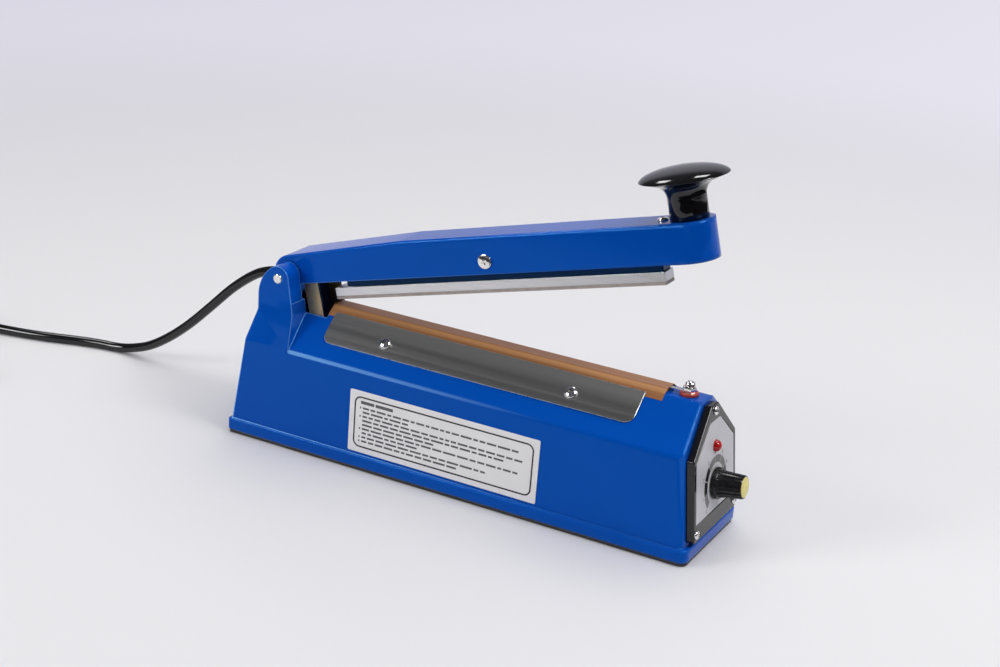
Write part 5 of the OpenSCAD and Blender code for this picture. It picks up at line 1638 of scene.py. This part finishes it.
# Lever channel
# A bent steel channel welded inside the arm's hinge end, zinc plated and passivated yellow, which
# leaves it gold with green and pink clouds. Its colour is painted darker towards the hinge side, a
# painted shade, and its faces turned towards the dial end are painted dark blue, a painted shade.


def yellow_zinc():
    material = bpy.data.materials.new("yellow_zinc")
    material.use_nodes = True
    tree = material.node_tree
    shader = tree.nodes["Principled BSDF"]
    shader.inputs["Metallic"].default_value = 0.7
    place = tree.nodes.new("ShaderNodeTexCoord")
    cloud = tree.nodes.new("ShaderNodeTexNoise")
    cloud.inputs["Scale"].default_value = 70.0
    cloud.inputs["Detail"].default_value = 3.0
    tree.links.new(place.outputs["Object"], cloud.inputs["Vector"])
    shade = tree.nodes.new("ShaderNodeValToRGB")
    shade.color_ramp.elements[0].position = 0.34
    shade.color_ramp.elements[0].color = (0.34, 0.25, 0.17, 1.0)
    shade.color_ramp.elements[1].position = 0.66
    shade.color_ramp.elements[1].color = (0.5, 0.34, 0.27, 1.0)
    gold = shade.color_ramp.elements.new(0.46)
    gold.color = (0.52, 0.39, 0.2, 1.0)
    olive = shade.color_ramp.elements.new(0.56)
    olive.color = (0.4, 0.36, 0.2, 1.0)
    tree.links.new(cloud.outputs["Fac"], shade.inputs["Fac"])
    split = tree.nodes.new("ShaderNodeSeparateXYZ")
    tree.links.new(place.outputs["Object"], split.inputs["Vector"])
    # Darker towards the hinge side and lighter towards the dial side: painted shade under the arm and
    # ear.
    painted_shade_along_x = tree.nodes.new("ShaderNodeMapRange")
    painted_shade_along_x.inputs["From Min"].default_value = lever_low[0]
    painted_shade_along_x.inputs["From Max"].default_value = lever_high[0]
    painted_shade_along_x.inputs["To Min"].default_value = 0.5
    painted_shade_along_x.inputs["To Max"].default_value = 1.5
    tree.links.new(split.outputs["X"], painted_shade_along_x.inputs["Value"])
    shaded_zinc = tree.nodes.new("ShaderNodeVectorMath")
    shaded_zinc.operation = "SCALE"
    tree.links.new(shade.outputs["Color"], shaded_zinc.inputs[0])
    tree.links.new(painted_shade_along_x.outputs["Result"], shaded_zinc.inputs["Scale"])
    tree.links.new(shaded_zinc.outputs[0], shader.inputs["Base Color"])
    gloss = tree.nodes.new("ShaderNodeMapRange")
    gloss.inputs["To Min"].default_value = 0.34
    gloss.inputs["To Max"].default_value = 0.46
    tree.links.new(cloud.outputs["Fac"], gloss.inputs["Value"])
    tree.links.new(gloss.outputs["Result"], shader.inputs["Roughness"])
    return material


lever_low, lever_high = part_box("lever_channel")
zinc_gold = yellow_zinc()
lever = settle(
    eased_copy("lever_channel", ease=0.3, steps=3), zinc_gold, "yellow_zinc", "lever_channel"
)
# A dark copy of the arm's blue, painted shade for faces that lie in the arm's shadow.
painted_shade_blue = (0.001, 0.009, 0.055)
web_painted_shade = blue_spray("web_painted_shade", tone=painted_shade_blue, highlight_tone=painted_shade_blue, foot_reach=0.3, upper_reach=0.3)
lever.data.materials.append(web_painted_shade)
# Faces turned towards the dial end take the dark blue, a painted shade.
for polygon in lever.data.polygons:
    if polygon.normal.x > 0.5:
        polygon.material_index = 1

# Handle
# A mushroom knob moulded in black gloss plastic, with a lens-like cap on a flared neck. A screw from
# inside the arm holds it.
handle_black = speckled_finish(
    "handle_black", tone=(0.004, 0.004, 0.005), spread=0.2, scale=60.0, gloss=0.1, gloss_spread=0.02,
    grain_scale=220.0, grain_depth=0.000006,
)
handle_shader = handle_black.node_tree.nodes["Principled BSDF"]
handle_shader.inputs["Specular IOR Level"].default_value = 0.5
handle_x = 269.8
handle_h = 30.0
neck_r = 11.2
neck_ease = 0.35
cap_r = 25.9
rim_h = 23.7
rim_round = 0.3
flare_r = 8.6
flare_h = rim_h - 11.3
flare_turn = 76.0
flare_steps = 16
rim_first = -72.0
rim_turn = 105.0
rim_steps = 7
handle_profile = [(0.0, 0.0), (neck_r - neck_ease, 0.0), (neck_r, neck_ease)]
for k in range(flare_steps + 1):
    angle = math.radians(180.0 - flare_turn * k / flare_steps)
    flare_out = neck_r + flare_r * (1.0 + math.cos(angle))
    handle_profile.append((flare_out, flare_h + flare_r * math.sin(angle)))
handle_profile.append((cap_r - 2.0 * rim_round, rim_h - rim_round))
for k in range(rim_steps + 1):
    angle = math.radians(rim_first + rim_turn * k / rim_steps)
    rim_out = cap_r - rim_round * (1.0 - math.cos(angle))
    handle_profile.append((rim_out, rim_h + rim_round * math.sin(angle)))
dome_start = math.radians(9.0)
dome_steps = 40
dome_r = (cap_r - 0.05) / math.cos(dome_start)
dome_h = (handle_h - rim_h - 0.16) / (1.0 - math.sin(dome_start))
for k in range(dome_steps):
    angle = dome_start + (math.pi / 2.0 - dome_start) * k / dome_steps
    handle_profile.append((dome_r * math.cos(angle), handle_h - dome_h * (1.0 - math.sin(angle))))
handle_profile.append((0.0, handle_h))
handle_mesh = softened(turned_mesh("handle_knob_dressed", handle_profile, steps=96), angle=50.0)
handle_mesh.transform(arm_place @ Matrix.Translation(Vector((handle_x, 0.0, arm_top_h)) * mm))
settle(shown("handle_knob_dressed", handle_mesh), handle_black, "black_gloss", "handle_knob")
settle(eased_copy("handle_screw", ease=0.3, steps=2), screw_plate, "plated_steel", "handle_screw")

# Pressing bar
# A plain drawn aluminium bar under a blue painted carrier, which rocks on the screw across the arm
# between two spacers. A strip of grey silicone rubber runs along the underside.
# The carrier is drawn in the dark blue, a painted shade of the arm's blue under the arm.
carrier_paint = blue_spray(
    "carrier_blue", tone=painted_shade_blue, highlight_tone=painted_shade_blue, foot_reach=0.6, upper_reach=0.6
)
settle(eased_copy("bar_carrier", ease=0.3, steps=2), carrier_paint, "blue_paint", "bar_carrier")
bar_aluminium = drawn_metal(
    "bar_aluminium", tone=(0.74, 0.74, 0.75), spread=0.05, stretch=(6.0, 800.0, 800.0), gloss=0.34,
    gloss_spread=0.06, depth=0.000005,
)
settle(
    eased_copy("presser_bar", ease=0.22, steps=2, sharp=35.0, smooth=30.0), bar_aluminium, "aluminium",
    "presser_bar",
)
settle(eased_copy("bar_nut", ease=0.3, steps=2), screw_plate, "plated_steel", "bar_nut")
settle(eased_copy("bar_spacers", ease=0.2, steps=2), bar_aluminium, "aluminium", "bar_spacers")
silicone_grey = speckled_finish(
    "silicone_grey", tone=(0.38, 0.33, 0.3), spread=0.12, scale=220.0, gloss=0.55, gloss_spread=0.06,
    grain_scale=1300.0, grain_depth=0.00003,
)
settle(eased_copy("silicone_strip", ease=0.15, steps=2), silicone_grey, "silicone", "silicone_strip")

# Return spring
# A coil of plated spring wire, stretched between the lever and a post on the base plate. It lifts the
# arm when the hand lets go.


def spring_tree():
    tree = bpy.data.node_groups.new("wound_wire", "GeometryNodeTree")
    face = tree.interface
    face.new_socket("Geometry", in_out="INPUT", socket_type="NodeSocketGeometry")
    face.new_socket("Turns", in_out="INPUT", socket_type="NodeSocketFloat")
    face.new_socket("Coil radius", in_out="INPUT", socket_type="NodeSocketFloat")
    face.new_socket("Coil length", in_out="INPUT", socket_type="NodeSocketFloat")
    face.new_socket("Wire radius", in_out="INPUT", socket_type="NodeSocketFloat")
    face.new_socket("Plating", in_out="INPUT", socket_type="NodeSocketMaterial")
    face.new_socket("Wire", in_out="OUTPUT", socket_type="NodeSocketGeometry")
    start = tree.nodes.new("NodeGroupInput")
    end = tree.nodes.new("NodeGroupOutput")
    spiral = tree.nodes.new("GeometryNodeCurveSpiral")
    spiral.inputs["Resolution"].default_value = 32
    ring = tree.nodes.new("GeometryNodeCurvePrimitiveCircle")
    ring.inputs["Resolution"].default_value = 12
    skin = tree.nodes.new("GeometryNodeCurveToMesh")
    skin.inputs["Fill Caps"].default_value = True
    smooth = tree.nodes.new("GeometryNodeSetShadeSmooth")
    real = tree.nodes.new("GeometryNodeRealizeInstances")
    plating = tree.nodes.new("GeometryNodeSetMaterial")
    tree.links.new(start.outputs["Turns"], spiral.inputs["Rotations"])
    tree.links.new(start.outputs["Coil radius"], spiral.inputs["Start Radius"])
    tree.links.new(start.outputs["Coil radius"], spiral.inputs["End Radius"])
    tree.links.new(start.outputs["Coil length"], spiral.inputs["Height"])
    tree.links.new(start.outputs["Wire radius"], ring.inputs["Radius"])
    tree.links.new(spiral.outputs["Curve"], skin.inputs["Curve"])
    tree.links.new(ring.outputs["Curve"], skin.inputs["Profile Curve"])
    tree.links.new(skin.outputs["Mesh"], smooth.inputs["Geometry"])
    tree.links.new(smooth.outputs["Geometry"], real.inputs["Geometry"])
    tree.links.new(real.outputs["Geometry"], plating.inputs["Geometry"])
    tree.links.new(start.outputs["Plating"], plating.inputs["Material"])
    tree.links.new(plating.outputs["Geometry"], end.inputs["Wire"])
    return tree


spring_low, spring_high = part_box("return_spring")
spring_wire = 0.6 * mm
spring_r = 4.0 * mm
spring_turns = 13.0
wire_slack = 0.97
spring_piece = shown("return_spring_dressed", bpy.data.meshes.new("return_spring_start"))
spring_maker = spring_piece.modifiers.new("wound_wire", "NODES")
spring_maker.node_group = spring_tree()
set_input(spring_maker, "Turns", spring_turns)
set_input(spring_maker, "Coil radius", spring_r)
set_input(spring_maker, "Coil length", spring_high[0] - spring_low[0] - 2.0 * spring_wire)
set_input(spring_maker, "Wire radius", spring_wire * wire_slack)
set_input(spring_maker, "Plating", bright_plate)
spring_piece.data = plain_mesh(spring_piece)
spring_middle = (Vector(spring_low) + Vector(spring_high)) / 2.0
spring_start = Vector((spring_low[0] + spring_wire, spring_middle.y, spring_middle.z))
spring_turn = Matrix.Rotation(math.radians(90.0), 4, "Y")
spring_piece.data.transform(Matrix.Translation(spring_start) @ spring_turn)
settle(spring_piece, bright_plate, "plated_steel", "return_spring")
settle(eased_copy("spring_anchor", ease=0.3, steps=2), bright_plate, "plated_steel", "spring_anchor")

# Switch
# A small switch in a moulded black case, held on an angle bracket of plated steel. The lever presses
# its white button as the bar lands.
switch_black = speckled_finish(
    "switch_black", tone=(0.02, 0.02, 0.021), spread=0.2, scale=200.0, gloss=0.45, gloss_spread=0.06,
    grain_scale=1200.0, grain_depth=0.00003,
)
settle(eased_copy("micro_switch", ease=0.4, steps=2), switch_black, "black_plastic", "micro_switch")
button_white = speckled_finish(
    "button_white", tone=(0.75, 0.74, 0.7), spread=0.05, scale=400.0, gloss=0.4, gloss_spread=0.05,
    grain_scale=1500.0, grain_depth=0.00002,
)
settle(eased_copy("switch_button", ease=0.3, steps=3), button_white, "white_plastic", "switch_button")
settle(eased_copy("switch_bracket", ease=0.25, steps=2), bright_plate, "plated_steel", "switch_bracket")
